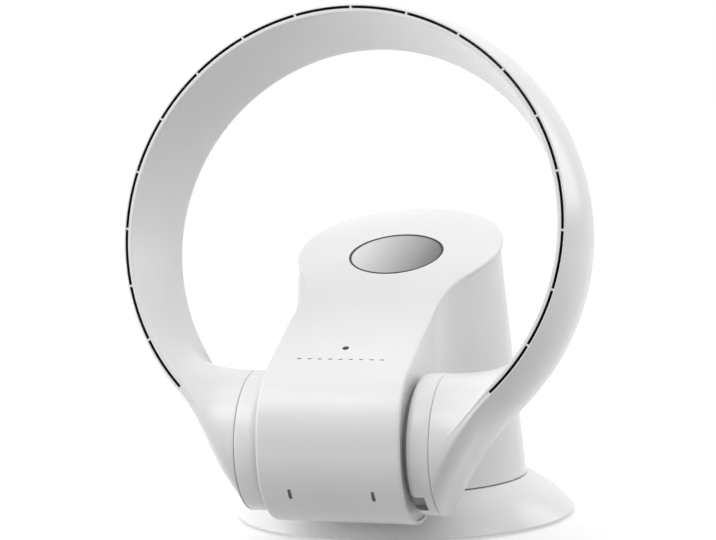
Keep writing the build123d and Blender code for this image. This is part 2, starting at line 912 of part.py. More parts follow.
def blade(inner, outer, chord, thickness, root_pitch, tip_pitch):
    """One twisted blade about Z, from an inner to an outer radius."""
    root = Plane((inner, 0, 0), x_dir=(0, 1, 0), z_dir=(1, 0, 0)) * Rot(0, 0, root_pitch)
    tip = Plane((outer, 0, 0), x_dir=(0, 1, 0), z_dir=(1, 0, 0)) * Rot(0, 0, tip_pitch)
    sections = [root * Rectangle(chord, thickness), tip * Rectangle(chord, thickness)]
    return loft(sections, ruled=True)


def make_impeller():
    """Mixed flow impeller: a hub with a round nose and twisted blades."""
    length = impeller_rear - impeller_front
    middle = (impeller_front + impeller_rear) / 2
    hub = Pos(0, 0, middle) * Cylinder(impeller_hub, length)
    nose = Pos(0, 0, impeller_rear + spinner / 2) * Cone(impeller_hub, spinner_radius, spinner)
    body = hub + nose
    tip = shroud_bore - tip_gap
    one = blade(impeller_hub - 2, tip + 4, blade_chord, blade_thickness, blade_root_pitch, blade_tip_pitch)
    one = Pos(0, 0, middle) * one
    ends = Pos(0, 0, middle) * (Cylinder(tip, length) - Cylinder(impeller_hub - 1, length + 1))
    trimmed = one & ends
    blades = [Rot(0, 0, 360 * step / blade_count) * trimmed for step in range(blade_count)]
    body = body + blades - Pos(0, 0, middle) * Cylinder(shaft_radius, 3 * length)
    pocket = disc(impeller_hub - hub_skin, impeller_front - 1, impeller_front + hub_pocket)
    body = body - pocket
    seat = disc(seat_radius, seat_low, seat_low + seat_height)
    return fan_frame * (body + seat - disc(shaft_radius, seat_low - 1, impeller_rear))


def make_shaft():
    """Motor shaft."""
    low = motor_front + 1
    high = impeller_rear + spinner + nut_height
    return fan_frame * disc(shaft_radius, low, high)


def make_rotor():
    """Magnet rotor on the motor's shaft."""
    middle = motor_front + motor_length / 2
    return fan_frame * tube(rotor_radius, shaft_radius, middle - rotor_length / 2, middle + rotor_length / 2)


def make_nut():
    """Nut that holds the impeller on its shaft."""
    low = impeller_rear + spinner
    hexagon = Pos(0, 0, low) * extrude(RegularPolygon(nut_radius, 6), nut_height)
    return fan_frame * (hexagon - disc(shaft_radius, low - 1, low + nut_height + 1))


def make_motor_case():
    """Motor can with a bearing seat in each end."""
    low = motor_front
    high = motor_front + motor_length
    can = disc(motor_radius, low, high) - disc(motor_radius - motor_wall, low + motor_cap, high - motor_cap)
    can = can - disc(bearing_radius, low + 1, low + motor_cap + 1)
    can = can - disc(bearing_radius, high - motor_cap - 1, high - 1)
    return fan_frame * (can - disc(shaft_radius + 0.6, low + 1, high + 1))


def make_bearings():
    """The motor's two plain bearings."""
    low = motor_front + 1
    high = motor_front + motor_length - 1
    bore = shaft_radius + bearing_clearance
    rings = [
        fan_frame * tube(bearing_radius, bore, low, low + bearing_width),
        fan_frame * tube(bearing_radius, bore, high - bearing_width, high),
    ]
    return Compound(children=rings)


def make_stator():
    """Wound stator inside the motor's can."""
    middle = motor_front + motor_length / 2
    half = rotor_length / 2
    core = tube(motor_radius - motor_wall, rotor_radius + air_gap, middle - half, middle + half)
    for step in range(6):
        gap = Rot(0, 0, 60 * step) * Pos(rotor_radius + 3.5, 0, middle) * Box(3.2, 2.2, rotor_length + 2)
        core = core - gap
    return fan_frame * core


def make_damper():
    """Rubber sleeve between the motor and its cup."""
    low = motor_front
    high = motor_front + motor_length - 6
    return fan_frame * tube(motor_radius + damper_wall, motor_radius, low, high)


def make_guide_vanes():
    """Cup for the motor, held in the tunnel by straightening vanes."""
    inner = motor_radius + damper_wall
    outer = inner + 2.0
    low = motor_front
    high = motor_front + motor_length - 6
    cup = tube(outer, inner, low, high)
    vanes = []
    near = outer - vane_root
    far = shroud_bore - vane_ring_wall / 2
    for step in range(vane_count):
        vane = Rot(0, 0, 360 * step / vane_count + 90) * Pos((near + far) / 2, 0, low + vane_length / 2)
        vanes.append(vane * Box(far - near, vane_thickness, vane_length))
    ring = tube(shroud_bore, shroud_bore - vane_ring_wall, low, low + vane_length)
    return fan_frame * (cup + vanes + ring)


# ---------------------------------------------------------------- base
def base_outline(wall):
    """Half profile of the flared base, moved in by a wall."""
    lean = atan2(plateau_z - rim_z, rim_radius - plateau_radius)
    side = wall / sin(lean)
    middle_r = (rim_radius + plateau_radius) / 2 + base_bulge * sin(lean)
    middle_z = (rim_z + plateau_z) / 2 + base_bulge * cos(lean)
    rim = (rim_radius - side, rim_z if wall == 0 else plate_top)
    belly = (middle_r - wall * sin(lean), middle_z - wall * cos(lean))
    edge = (plateau_radius - wall * 0.6, plateau_z - wall)
    return rim, belly, edge


def make_base_cover():
    """Flared base cover with the swivel post and the screw bosses."""
    rim, belly, edge = base_outline(0.0)
    rim_in, belly_in, edge_in = base_outline(base_wall)
    outside = [
        Line((0, plateau_z), edge), ThreePointArc(edge, belly, rim), Line(rim, (rim_radius, plate_low)),
        Line((rim_radius, plate_low), (0, plate_low)), Line((0, plate_low), (0, plateau_z)),
    ]
    inside = [
        Line((0, edge_in[1]), edge_in), ThreePointArc(edge_in, belly_in, rim_in),
        Line(rim_in, (rim_in[0], plate_low)), Line((rim_in[0], plate_low), (0, plate_low)),
        Line((0, plate_low), (0, edge_in[1])),
    ]
    full = revolve(make_face(Plane.XZ * (Curve() + outside)), Axis.Z)
    hollow = revolve(make_face(Plane.XZ * (Curve() + inside)), Axis.Z)
    cover = full - hollow
    cover = cover + disc(post_radius, plate_top, post_top - retainer_height)
    cover = cover - disc(post_bore, 0, post_top + 1)
    for step in range(foot_pads):
        angle = base_screw_angle(step)
        boss = polar(boss_ring, angle) * disc(boss_radius, plate_top, plateau_z)
        hole = polar(boss_ring, angle) * disc(screw_radius, 0, plate_low + screw_length)
        cover = cover + (boss & full) - hole
    for step in range(3):
        hole = polar(retainer_screw_ring(), 120 * step + 30) * disc(screw_radius, gear_low - 8, post_top)
        cover = cover - hole
    return cover - inlet_block(0.0)


def base_screw_angle(step):
    """Angle of a base screw, between two feet."""
    return 90 + 360 * (step + 0.5) / foot_pads


def retainer_screw_ring():
    """Radius of the circle of screws in the top of the post."""
    return (post_radius + post_bore) / 2


def make_base_plate():
    """Flat plate that closes the base below."""
    rim_in = base_outline(base_wall)[0]
    plate = disc(rim_in[0] - fit_gap, plate_low, plate_top)
    for step in range(foot_pads):
        plate = plate - polar(boss_ring, base_screw_angle(step)) * disc(screw_radius, 0, 20)
    return plate - disc(post_bore - 4, 0, 20) + disc(centre_pad_radius, plate_low, plate_top)


def make_ballast():
    """Steel ring that keeps the fan from tipping."""
    return tube(ballast_outer, ballast_inner, plate_top, plate_top + ballast_height)


def make_feet():
    """Rubber pads under the base, one of them at its centre."""
    pads = [disc(centre_pad_radius, 0, plate_low)]
    for step in range(foot_pads):
        pads.append(polar(foot_ring, 90 + 360 * step / foot_pads) * disc(foot_pad_radius, 0, plate_low))
    return Compound(children=pads)


def make_base_screws():
    """Screws that hold the base plate."""
    one = screw(screw_head, screw_head_height, screw_length)
    screws = []
    for step in range(foot_pads):
        screws.append(polar(boss_ring, base_screw_angle(step), plate_low) * one)
    return Compound(children=screws)


def inlet_block(shrink):
    """The socket's space in the base's rear edge."""
    half = inlet_width / 2 - shrink
    rear = rim_radius - inlet_set_back
    return slab(
        -half, half, rear - inlet_depth, rear + 12, plate_top + fit_gap + shrink,
        plate_top + fit_gap + inlet_height - shrink,
    )


def make_inlet():
    """Low voltage power socket in the base's rear edge."""
    mouth = rim_radius - inlet_set_back - 1
    block = inlet_block(0.1) & slab(-50, 50, 0, mouth, 0, 50)
    middle = plate_top + fit_gap + inlet_height / 2
    end = mouth - inlet_bore_depth
    bore = Pos(0, mouth, middle) * Rot(90, 0, 0) * Cylinder(inlet_bore, 2 * inlet_bore_depth)
    centre = Pos(0, end + inlet_pin_length / 2, middle)
    pin = centre * Rot(90, 0, 0) * Cylinder(inlet_pin, inlet_pin_length + 0.2)
    return block - bore + pin


def make_thrust_ring():
    """Low friction ring that the turntable slides on."""
    return tube(thrust_outer, thrust_inner, plateau_z, thrust_top)


def gear_profile(teeth, backlash):
    """A toothed outline of straight flanked teeth about Z, with a tooth on +X."""
    pitch = gear_module * teeth / 2
    tip = pitch + 0.8 * gear_module
    root = pitch - 1.15 * gear_module
    step = 360 / teeth
    quarter = step / 4 - degrees(backlash / 2 / pitch)
    rise = degrees(tan(radians(20)) * gear_module / pitch)
    points = []
    for tooth in range(teeth):
        middle = tooth * step
        for radius, turn in (
            (root, -quarter - 1.15 * rise), (tip, -quarter + 0.8 * rise),
            (tip, quarter - 0.8 * rise), (root, quarter + 1.15 * rise),
        ):
            angle = radians(middle + turn)
            points.append((radius * cos(angle), radius * sin(angle)))
    return make_face(Polyline(points, close=True))


def make_swivel_gear():
    """Fixed gear on the post, which the swing drive rolls round."""
    turned = Rot(0, 0, 90) * gear_profile(gear_teeth, gear_backlash)
    gear = Pos(0, 0, gear_low) * extrude(turned, gear_thickness)
    return gear - disc(post_radius, 0, 60)


def make_gear_retainer():
    """Cap plate that holds the gear and the turntable down."""
    low = post_top - retainer_height
    plate = tube(retainer_radius, post_bore, low, post_top)
    for step in range(3):
        plate = plate - polar(retainer_screw_ring(), 120 * step + 30) * disc(screw_radius, 0, 60)
    return plate


def make_retainer_screws():
    """Three screws in the top of the post."""
    one = Rot(180, 0, 0) * screw(2.6, 1.2, retainer_height + 6)
    ring = retainer_screw_ring()
    return Compound(children=[polar(ring, 120 * step + 30, post_top) * one for step in range(3)])


def make_pinion():
    """Pinion of the swing drive with its short shaft."""
    half_step = 180 / pinion_teeth
    turned = Rot(0, 0, -90 + half_step) * gear_profile(pinion_teeth, gear_backlash)
    teeth = Pos(0, gear_centres, gear_low) * extrude(turned, gear_thickness)
    return teeth + disc(swing_shaft_radius, gear_low, gear_top + swing_shaft_rise, 0, gear_centres)


def make_swing_motor():
    """Small geared motor that swings the housing, on two legs on the turntable."""
    low = gear_top + swing_motor_gap
    can = disc(swing_motor_radius, low, low + swing_motor_height, 0, gear_centres)
    bore = disc(
        swing_shaft_radius + bearing_clearance, low - 1, gear_top + swing_shaft_rise + 2, 0, gear_centres,
    )
    can = can - bore
    ears = slab(
        -ear_half, ear_half, gear_centres - ear_depth, gear_centres + ear_depth,
        low, low + ear_thickness,
    )
    ears = ears - disc(swing_motor_radius - 1, low - 1, low + 3, 0, gear_centres)
    posts = [
        disc(ear_post_radius, floor_top, low, side * ear_post_x, gear_centres) for side in (-1, 1)
    ]
    return can + ears + posts


def make_control_board():
    """Power and control board on the rear of the bulkhead."""
    near = bulkhead_y + bulkhead_thickness
    half = control_width / 2
    low = control_z - control_height / 2
    board = slab(-half, half, near, near + board_thickness, low, low + control_height)
    chips = [
        slab(-half + 6, -half + 22, near + board_thickness, near + board_thickness + chip_height,
             low + 4, low + 18),
        slab(-6, 8, near + board_thickness, near + board_thickness + 3, low + 6, low + 18),
        slab(half - 24, half - 6, near + board_thickness, near + board_thickness + chip_height,
             low + 5, low + 15),
    ]
    return board + chips


# ---------------------------------------------------------------- assembly
def make_all():
    """Every piece by its name."""
    roof = cover_thickness + cover_gap
    outer = body_solid(0.0, roof, foot_z)
    cavity = body_solid(body_wall, roof + body_wall, foot_z - 2)
    cavity_fit = body_solid(body_wall + fit_gap, roof + body_wall + fit_gap, foot_z - 2)
    leg = make_leg()
    retainer = make_hub_retainer()
    bush = make_bush()
    collar = make_collar()
    seal = make_seals()
    return {
        "base_cover": make_base_cover(),
        "base_plate": make_base_plate(),
        "ballast_ring": make_ballast(),
        "rubber_feet": make_feet(),
        "base_screws": make_base_screws(),
        "power_inlet": make_inlet(),
        "thrust_ring": make_thrust_ring(),
        "swivel_gear": make_swivel_gear(),
        "gear_retainer": make_gear_retainer(),
        "retainer_screws": make_retainer_screws(),
        "housing_floor": make_floor(cavity_fit),
        "swivel_bush": make_swivel_bush(),
        "floor_screws": make_floor_screws(),
        "housing_shell": make_housing_shell(outer, cavity),
        "rear_grille": make_grille(outer, cavity),
        "dust_filter": make_filter(cavity),
        "front_cover": make_front_cover(),
        "display_bezel": make_bezel(),
        "display_window": make_window(),
        "display_board": make_display_board(),
        "display_carrier": make_display_carrier(),
        "receiver_lens": make_indicator(),
        "level_marks": make_marks(),
        "fan_bulkhead": make_bulkhead(cavity_fit),
        "fan_shroud": make_shroud(),
        "guide_vanes": make_guide_vanes(),
        "motor_damper": make_damper(),
        "motor_case": make_motor_case(),
        "motor_stator": make_stator(),
        "motor_bearings": make_bearings(),
        "air_duct": make_air_duct(),
        "air_tube": make_air_tube(),
        "right_collar": collar - latch_recess(),
        "left_collar": mirrored(collar),
        "right_bush": bush,
        "left_bush": mirrored(bush),
        "control_board": make_control_board(),
        "swing_motor": make_swing_motor(),
        "swing_pinion": make_pinion(),
        "impeller": make_impeller(),
        "motor_shaft": make_shaft(),
        "motor_rotor": make_rotor(),
        "impeller_nut": make_nut(),
        "ring_outer_shell": make_ring_outer(),
        "ring_inner_shell": make_ring_inner(),
        "slot_ribs": make_slot_ribs(),
        "right_leg": leg,
        "left_leg": mirrored(leg),
        "right_hub_retainer": retainer,
        "left_hub_retainer": mirrored(retainer),
        "joint_seals": Compound(children=[seal, mirrored(seal)]),
    }


def main():
    """Write each piece to its own file."""
    os.makedirs("parts", exist_ok=True)
    for name, shape in make_all().items():
        export_step(shape, f"parts/{name}.step")
        print(name, len(shape.solids()), round(shape.volume))


main()
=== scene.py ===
"""The looks of a bladeless table fan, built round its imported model.

Lengths in the code are millimetres and become metres where a mesh is made. +X is the fan's
right in a view from the front, -Y is the way the air blows, +Z is up, and the origin is where
the swivel axis meets the table.
"""

import json
from math import asin, atan2, cos, degrees, hypot, pi, radians, sin, sqrt

import bmesh
import bpy
import numpy as np
from mathutils import Matrix, Quaternion, Vector


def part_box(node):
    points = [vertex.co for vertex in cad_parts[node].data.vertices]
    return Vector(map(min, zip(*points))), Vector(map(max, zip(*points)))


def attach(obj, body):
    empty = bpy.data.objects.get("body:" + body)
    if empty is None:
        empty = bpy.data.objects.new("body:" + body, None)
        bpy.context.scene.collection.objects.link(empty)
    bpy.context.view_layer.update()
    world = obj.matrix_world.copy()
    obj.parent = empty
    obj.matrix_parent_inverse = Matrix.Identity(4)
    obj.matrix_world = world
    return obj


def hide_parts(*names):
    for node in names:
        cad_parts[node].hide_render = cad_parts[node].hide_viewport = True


MM = 0.001

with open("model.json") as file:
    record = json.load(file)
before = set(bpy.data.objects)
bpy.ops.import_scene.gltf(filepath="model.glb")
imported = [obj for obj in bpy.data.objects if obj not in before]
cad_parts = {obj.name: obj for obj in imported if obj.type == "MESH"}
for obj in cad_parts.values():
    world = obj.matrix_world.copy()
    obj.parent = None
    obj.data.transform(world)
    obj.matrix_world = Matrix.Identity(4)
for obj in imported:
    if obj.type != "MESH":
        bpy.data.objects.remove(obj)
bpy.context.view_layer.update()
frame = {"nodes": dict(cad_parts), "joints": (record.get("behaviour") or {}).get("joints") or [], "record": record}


# ---------------------------------------------------------------- places taken from the frame
def span(node):
    """Lowest and highest corner of a CAD node, in millimetres."""
    low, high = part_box(node)
    return np.array(low) / MM, np.array(high) / MM


def joint_place(name):
    """Where a joint's axis lies, in millimetres."""
    joint = next(j for j in frame["joints"] if j["name"] == name)
    return np.array(joint["pos_m"], float) / MM


pivot = joint_place("ring_tilt")
collar_low, collar_high = span("right_collar")
seal_high = span("joint_seals")[1]
cover_low = span("front_cover")[0]

leg_radius = (collar_high[2] - collar_low[2]) / 2
collar_inner = collar_low[0]
collar_face = collar_high[0]
leg_face = seal_high[0]
spigot_end = span("right_hub_retainer")[1][0]
cover_half = 54.8

# ---------------------------------------------------------------- sizes of the air ring
ring_lean = 14.0
pivot_drop = 153.0
pivot_back = 53.4
arc_half = 135.0
slot_radius = 168.0
slot_half = 1.0
slot_depth = 7.0
lip_radius = 164.0
throat_radius = 152.9
throat_depth = 79.0
wall_bow = 0.2
belly_radius = 178.2
belly_depth = 48.0
tail_radius = 174.8
tail_round = 10.8
outer_lip_radius = 170.6
lip_round = 0.9
slot_chamfer = 0.35
hub_outer = 38.9
hub_bore = 35.9
leg_edge = 0.6
leg_floor = 1.0
leg_start_angle = 100.0
inner_lip_width = 1.1

# Angles at the joint that the parts of the ring's outline reach
slot_edge_turn = -17.5
lip_turn = -6.0
lip_sweep = 8.0
wall_turn = 2.0
tail_turn = 150.0
outer_turn = 190.0
outer_lip_turn = 326.0

# Angles at the joint between which each weight of the leg's blend rises, and the lengths of
# the blend's handles as shares of the way from the ring to the joint
rear_turns = (140, 200)
front_turns = (285, 330)
level_turns = (-20, 10)
stretch_turns = (4, 50)
leave_handle = 0.36
leave_handle_stretch = 0.06
reach_handle = 0.34
reach_handle_level = 0.07
reach_handle_stretch = 0.31

# Where each line along the leg leaves its circle on the ring, by the angle at which it
# reaches the joint: 0 is the joint's front, 90 its top, 180 its rear, 270 its bottom
leave_angles = [
    (-30, 135), (-17, 135), (-6, 133), (6, 128), (24, 122), (60, 118.5), (110, 118.5),
    (150, 122), (170, 126), (190, 130), (235, 135), (330, 135), (348, 135),
]

# ---------------------------------------------------------------- sizes of the cover
cover_thickness = 3.0
cover_edge = 1.2
cover_lift = 8.5
cover_slope = 26.0
crown_radius = 1387.0
head_radius = 81.5
head_blend = 100.0
cover_tail_angle = 60.0
pull_slot_x = 32.0
pull_slot_angle = 31.5
pull_slot_size = (3.0, 10.0, 1.8)
display_y = -11.5
display_radius = 37.5
display_rim = 1.6
display_gap = 0.15
lens_y = -153.1
lens_radius = 2.6
marks_y = -167.0
marks_pitch = 8.0
marks_count = 9
mark_size = (3.0, 1.0)
cover_bend = pivot[1] - cover_low[1]


# ---------------------------------------------------------------- helpers
def grid_faces(rows, columns, start=0):
    """Quads of a grid of points whose rows are closed loops of the same number of points."""
    faces = []
    for i in range(rows - 1):
        for j in range(columns):
            a = start + i * columns + j
            b = start + i * columns + (j + 1) % columns
            faces.append((a, b, b + columns, a + columns))
    return faces


def torus_faces(rows, columns):
    """Quads of a grid that closes on itself both ways."""
    faces = []
    for i in range(rows):
        for j in range(columns):
            n = (i + 1) % rows
            m = (j + 1) % columns
            faces.append((i * columns + j, i * columns + m, n * columns + m, n * columns + j))
    return faces


def add_piece(name, points, faces, material, body, smooth_angle=32):
    """A mesh from points in millimetres, shaded smooth but for its sharp edges."""
    mesh = bpy.data.meshes.new(name)
    scaled = np.array(points, float).reshape(-1, 3) * MM
    mesh.from_pydata(scaled.tolist(), [], faces)
    mesh.validate()
    obj = bpy.data.objects.new(name, mesh)
    bpy.context.scene.collection.objects.link(obj)
    face_outwards(obj)
    mesh.shade_smooth()
    mesh.set_sharp_from_angle(angle=radians(smooth_angle))
    mesh.materials.append(material)
    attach(obj, body)
    return obj


def face_outwards(obj):
    """Joins points that meet and turns every face outwards."""
    work = bmesh.new()
    work.from_mesh(obj.data)
    bmesh.ops.remove_doubles(work, verts=work.verts, dist=0.002 * MM)
    bmesh.ops.recalc_face_normals(work, faces=work.faces)
    work.to_mesh(obj.data)
    work.free()


def three_point_arc(a, b, c, count):
    """Points along the arc from a through b to c."""
    (ax, ay), (bx, by), (cx, cy) = a, b, c
    d = 2 * (ax * (by - cy) + bx * (cy - ay) + cx * (ay - by))
    ux = ((ax**2 + ay**2) * (by - cy) + (bx**2 + by**2) * (cy - ay) + (cx**2 + cy**2) * (ay - by)) / d
    uy = ((ax**2 + ay**2) * (cx - bx) + (bx**2 + by**2) * (ax - cx) + (cx**2 + cy**2) * (bx - ax)) / d
    radius = hypot(ax - ux, ay - uy)
    first = atan2(ay - uy, ax - ux)
    last = atan2(cy - uy, cx - ux)
    middle = atan2(by - uy, bx - ux)
    forward = (last - first) % (2 * pi)
    if (middle - first) % (2 * pi) > forward:
        forward -= 2 * pi
    turns = first + forward * np.linspace(0, 1, count)
    return np.stack([ux + radius * np.cos(turns), uy + radius * np.sin(turns)], 1)


def smooth_between(x, keys):
    """A smooth curve through (place, value) keys, read at x."""
    places = np.array([k[0] for k in keys], float)
    values = np.array([k[1] for k in keys], float)
    slopes = np.gradient(values, places)
    k = int(np.clip(np.searchsorted(places, x) - 1, 0, len(places) - 2))
    width = places[k + 1] - places[k]
    t = float(np.clip((x - places[k]) / width, 0, 1))
    return (
        values[k] * (2 * t**3 - 3 * t**2 + 1) + slopes[k] * width * (t**3 - 2 * t**2 + t)
        + values[k + 1] * (3 * t**2 - 2 * t**3) + slopes[k + 1] * width * (t**3 - t**2)
    )


def step_up(x, low, high):
    """0 below low, 1 above high, and smooth between them."""
    t = min(1.0, max(0.0, (x - low) / (high - low)))
    return t * t * (3 - 2 * t)


# ---------------------------------------------------------------- materials
def new_material(name):
    """A node material and its shader."""
    material = bpy.data.materials.new(name)
    material.use_nodes = True
    return material, material.node_tree.nodes["Principled BSDF"]


def noise(material, scale, detail=3.0, roughness=0.5):
    """Noise in the object's own space; the scale is in waves per metre."""
    tree = material.node_tree
    place = tree.nodes.new("ShaderNodeTexCoord")
    texture = tree.nodes.new("ShaderNodeTexNoise")
    texture.inputs["Scale"].default_value = scale
    texture.inputs["Detail"].default_value = detail
    texture.inputs["Roughness"].default_value = roughness
    tree.links.new(place.outputs["Object"], texture.inputs["Vector"])
    return texture.outputs["Fac"]


def ramp(material, source, low, high, start=0.3, end=0.7):
    """Two colours or greys along a source value."""
    tree = material.node_tree
    node = tree.nodes.new("ShaderNodeValToRGB")
    node.color_ramp.elements[0].position = start
    node.color_ramp.elements[1].position = end
    node.color_ramp.elements[0].color = low
    node.color_ramp.elements[1].color = high
    tree.links.new(source, node.inputs["Fac"])
    return node.outputs["Color"]


def grey(value):
    """An opaque grey."""
    return (value, value, value, 1.0)


def bump(material, shader, source, height, strength=1.0):
    """Fine relief of a height in millimetres."""
    tree = material.node_tree
    node = tree.nodes.new("ShaderNodeBump")
    node.inputs["Strength"].default_value = strength
    node.inputs["Distance"].default_value = height * MM
    tree.links.new(source, node.inputs["Height"])
    tree.links.new(node.outputs["Normal"], shader.inputs["Normal"])


def plastic(name, colour, roughness, spread, relief, grain, coat=0.0, tint=0.03):
    """Moulded plastic: faint colour drift, uneven gloss and a fine moulded grain."""
    material, shader = new_material(name)
    tree = material.node_tree
    drift = noise(material, 14.0)
    low = tuple(c * (1 - tint) for c in colour) + (1.0,)
    high = tuple(min(1.0, c * (1 + tint / 3)) for c in colour) + (1.0,)
    tree.links.new(ramp(material, drift, low, high), shader.inputs["Base Color"])
    wear = noise(material, 90.0, 5.0, 0.6)
    gloss = ramp(material, wear, grey(roughness), grey(roughness + spread))
    tree.links.new(gloss, shader.inputs["Roughness"])
    bump(material, shader, noise(material, grain, 2.0), relief, 0.5)
    shader.inputs["IOR"].default_value = 1.5
    shader.inputs["Coat Weight"].default_value = coat
    shader.inputs["Coat Roughness"].default_value = 0.06
    return material


def metal(name, colour, roughness, spread, relief, grain):
    """Bare metal with an uneven polish."""
    material, shader = new_material(name)
    tree = material.node_tree
    low = tuple(c * 0.82 for c in colour) + (1.0,)
    high = tuple(colour) + (1.0,)
    tree.links.new(ramp(material, noise(material, 40.0), low, high), shader.inputs["Base Color"])
    gloss = ramp(material, noise(material, 160.0, 4.0), grey(roughness), grey(roughness + spread))
    tree.links.new(gloss, shader.inputs["Roughness"])
    bump(material, shader, noise(material, grain, 2.0), relief, 0.4)
    shader.inputs["Metallic"].default_value = 1.0
    return material


def display_material_with_painted_reflection():
    """Silvery lens of the round display with a painted reflection: paler on the left, darker to the right."""
    material, shader = new_material("display_face")
    tree = material.node_tree
    place = tree.nodes.new("ShaderNodeTexCoord")
    split = tree.nodes.new("ShaderNodeSeparateXYZ")
    tree.links.new(place.outputs["Object"], split.inputs["Vector"])
    level = tree.nodes.new("ShaderNodeMapRange")
    level.inputs["From Min"].default_value = -display_radius * MM
    level.inputs["From Max"].default_value = display_radius * MM
    tree.links.new(split.outputs["X"], level.inputs["Value"])
    # Painted reflection: the colour runs from pale on the left of the lens to dark on its right.
    shade = ramp(material, level.outputs["Result"], grey(0.8), grey(0.17), 0.0, 0.95)
    tree.links.new(shade, shader.inputs["Base Color"])
    gloss = ramp(material, noise(material, 700.0, 4.0), grey(0.28), grey(0.4))
    tree.links.new(gloss, shader.inputs["Roughness"])
    bump(material, shader, noise(material, 5200.0, 2.0), 0.004, 0.4)
    shader.inputs["Metallic"].default_value = 0.55
    return material


def mesh_material():
    """Fine woven screen of the dust filter."""
    material, shader = new_material("filter_mesh")
    tree = material.node_tree
    place = tree.nodes.new("ShaderNodeTexCoord")
    waves = []
    for axis in ("X", "Z"):
        wave = tree.nodes.new("ShaderNodeTexWave")
        wave.bands_direction = axis
        wave.inputs["Scale"].default_value = 260.0
        tree.links.new(place.outputs["Object"], wave.inputs["Vector"])
        waves.append(wave.outputs["Fac"])
    both = tree.nodes.new("ShaderNodeMath")
    both.operation = "MULTIPLY"
    tree.links.new(waves[0], both.inputs[0])
    tree.links.new(waves[1], both.inputs[1])
    shade = ramp(material, both.outputs["Value"], grey(0.03), grey(0.16), 0.1, 0.8)
    tree.links.new(shade, shader.inputs["Base Color"])
    bump(material, shader, both.outputs["Value"], 0.25, 0.8)
    shader.inputs["Roughness"].default_value = 0.75
    return material


def board_material():
    """Green circuit board with copper traces."""
    material, shader = new_material("circuit_board")
    tree = material.node_tree
    place = tree.nodes.new("ShaderNodeTexCoord")
    cells = tree.nodes.new("ShaderNodeTexVoronoi")
    cells.distance = "CHEBYCHEV"
    cells.inputs["Scale"].default_value = 380.0
    tree.links.new(place.outputs["Object"], cells.inputs["Vector"])
    shade = ramp(
        material, cells.outputs["Distance"], (0.012, 0.09, 0.035, 1), (0.05, 0.2, 0.07, 1), 0.2, 0.3,
    )
    tree.links.new(shade, shader.inputs["Base Color"])
    bump(material, shader, cells.outputs["Distance"], 0.05, 0.5)
    shader.inputs["Roughness"].default_value = 0.42
    return material


def make_materials():
    """Every finish, by the name of its slot in the record."""
    white = (0.83, 0.83, 0.835)
    return {
        "white_gloss": plastic("white_gloss", white, 0.2, 0.07, 0.006, 900.0),
        "white_satin": plastic("white_satin", (0.76, 0.76, 0.75), 0.42, 0.12, 0.012, 1800.0),
        "dark_moulding": plastic("dark_moulding", (0.02, 0.02, 0.021), 0.4, 0.15, 0.01, 1600.0),
        "dark_gloss": plastic("dark_gloss", (0.008, 0.008, 0.009), 0.06, 0.05, 0.002, 900.0, coat=0.6),
        "duct_grey": plastic("duct_grey", (0.3, 0.31, 0.32), 0.45, 0.12, 0.012, 1500.0),
        "impeller_black": plastic("impeller_black", (0.03, 0.03, 0.032), 0.35, 0.12, 0.01, 1500.0),
        "bearing_plastic": plastic("bearing_plastic", (0.7, 0.66, 0.55), 0.38, 0.1, 0.008, 1500.0),
        "bearing_brass": metal("bearing_brass", (0.8, 0.6, 0.28), 0.3, 0.15, 0.004, 2500.0),
        "screw_steel": metal("screw_steel", (0.55, 0.55, 0.56), 0.26, 0.15, 0.006, 2500.0),
        "ballast_iron": metal("ballast_iron", (0.2, 0.19, 0.18), 0.5, 0.2, 0.04, 900.0),
        "motor_aluminium": metal("motor_aluminium", (0.68, 0.69, 0.7), 0.34, 0.12, 0.006, 2200.0),
        "circuit_board": board_material(),
        "filter_mesh": mesh_material(),
        "soft_rubber": plastic("soft_rubber", (0.035, 0.035, 0.036), 0.62, 0.18, 0.02, 1300.0),
        "display_face": display_material_with_painted_reflection(),
        "mark_grey": plastic("mark_grey", (0.03, 0.03, 0.032), 0.4, 0.1, 0.004, 1500.0),
    }


materials = make_materials()


# ---------------------------------------------------------------- ring and legs in one skin
def ring_section():
    """The ring's outline as (r, depth, angle at the joint), from the slot's inner edge round
    the tail and back, with the slot's floor last."""
    gap_in = slot_radius - slot_half
    gap_out = slot_radius + slot_half
    rows = [
        (gap_in, slot_chamfer, slot_edge_turn), (gap_in - slot_chamfer, 0, slot_edge_turn + 1),
        (gap_in - inner_lip_width, 0, -11.0), (lip_radius + lip_round, 0, lip_turn),
    ]
    for turn in (22.5, 45, 67.5):
        rows.append((
            lip_radius + lip_round * (1 - sin(radians(turn))),
            lip_round * (1 - cos(radians(turn))), lip_turn + lip_sweep * turn / 90,
        ))
    for share in np.linspace(0, 1, 44)[:-1]:
        depth = lip_round + (throat_depth - lip_round) * share
        radius = lip_radius + (throat_radius - lip_radius) * share - 4 * wall_bow * share * (1 - share)
        rows.append((radius, depth, wall_turn + (tail_turn - wall_turn) * share))
    middle = (throat_radius + tail_radius) / 2
    half = (tail_radius - throat_radius) / 2
    for share in np.linspace(0, 1, 22)[:-1]:
        rows.append((
            middle - half * cos(pi * share), throat_depth + tail_round * sin(pi * share),
            tail_turn + (outer_turn - tail_turn) * share,
        ))
    skin = (outer_lip_radius, lip_round)
    outer = three_point_arc((tail_radius, throat_depth), (belly_radius, belly_depth), skin, 50)
    sweep = outer_lip_turn - outer_turn
    for share, (radius, depth) in zip(np.linspace(0, 1, 50), outer):
        rows.append((radius, depth, outer_turn + sweep * (share + 0.5 * share * (1 - share))))
    for turn in (22.5, 45, 67.5):
        rows.append((
            outer_lip_radius - lip_round * (1 - cos(radians(turn))),
            lip_round * (1 - sin(radians(turn))), outer_lip_turn + lip_sweep * turn / 90,
        ))
    rows += [
        (gap_out + slot_chamfer, 0, 338.0), (gap_out, slot_chamfer, 339.5),
        (gap_out, slot_depth, 340.0), (gap_in, slot_depth, 341.5),
    ]
    return rows


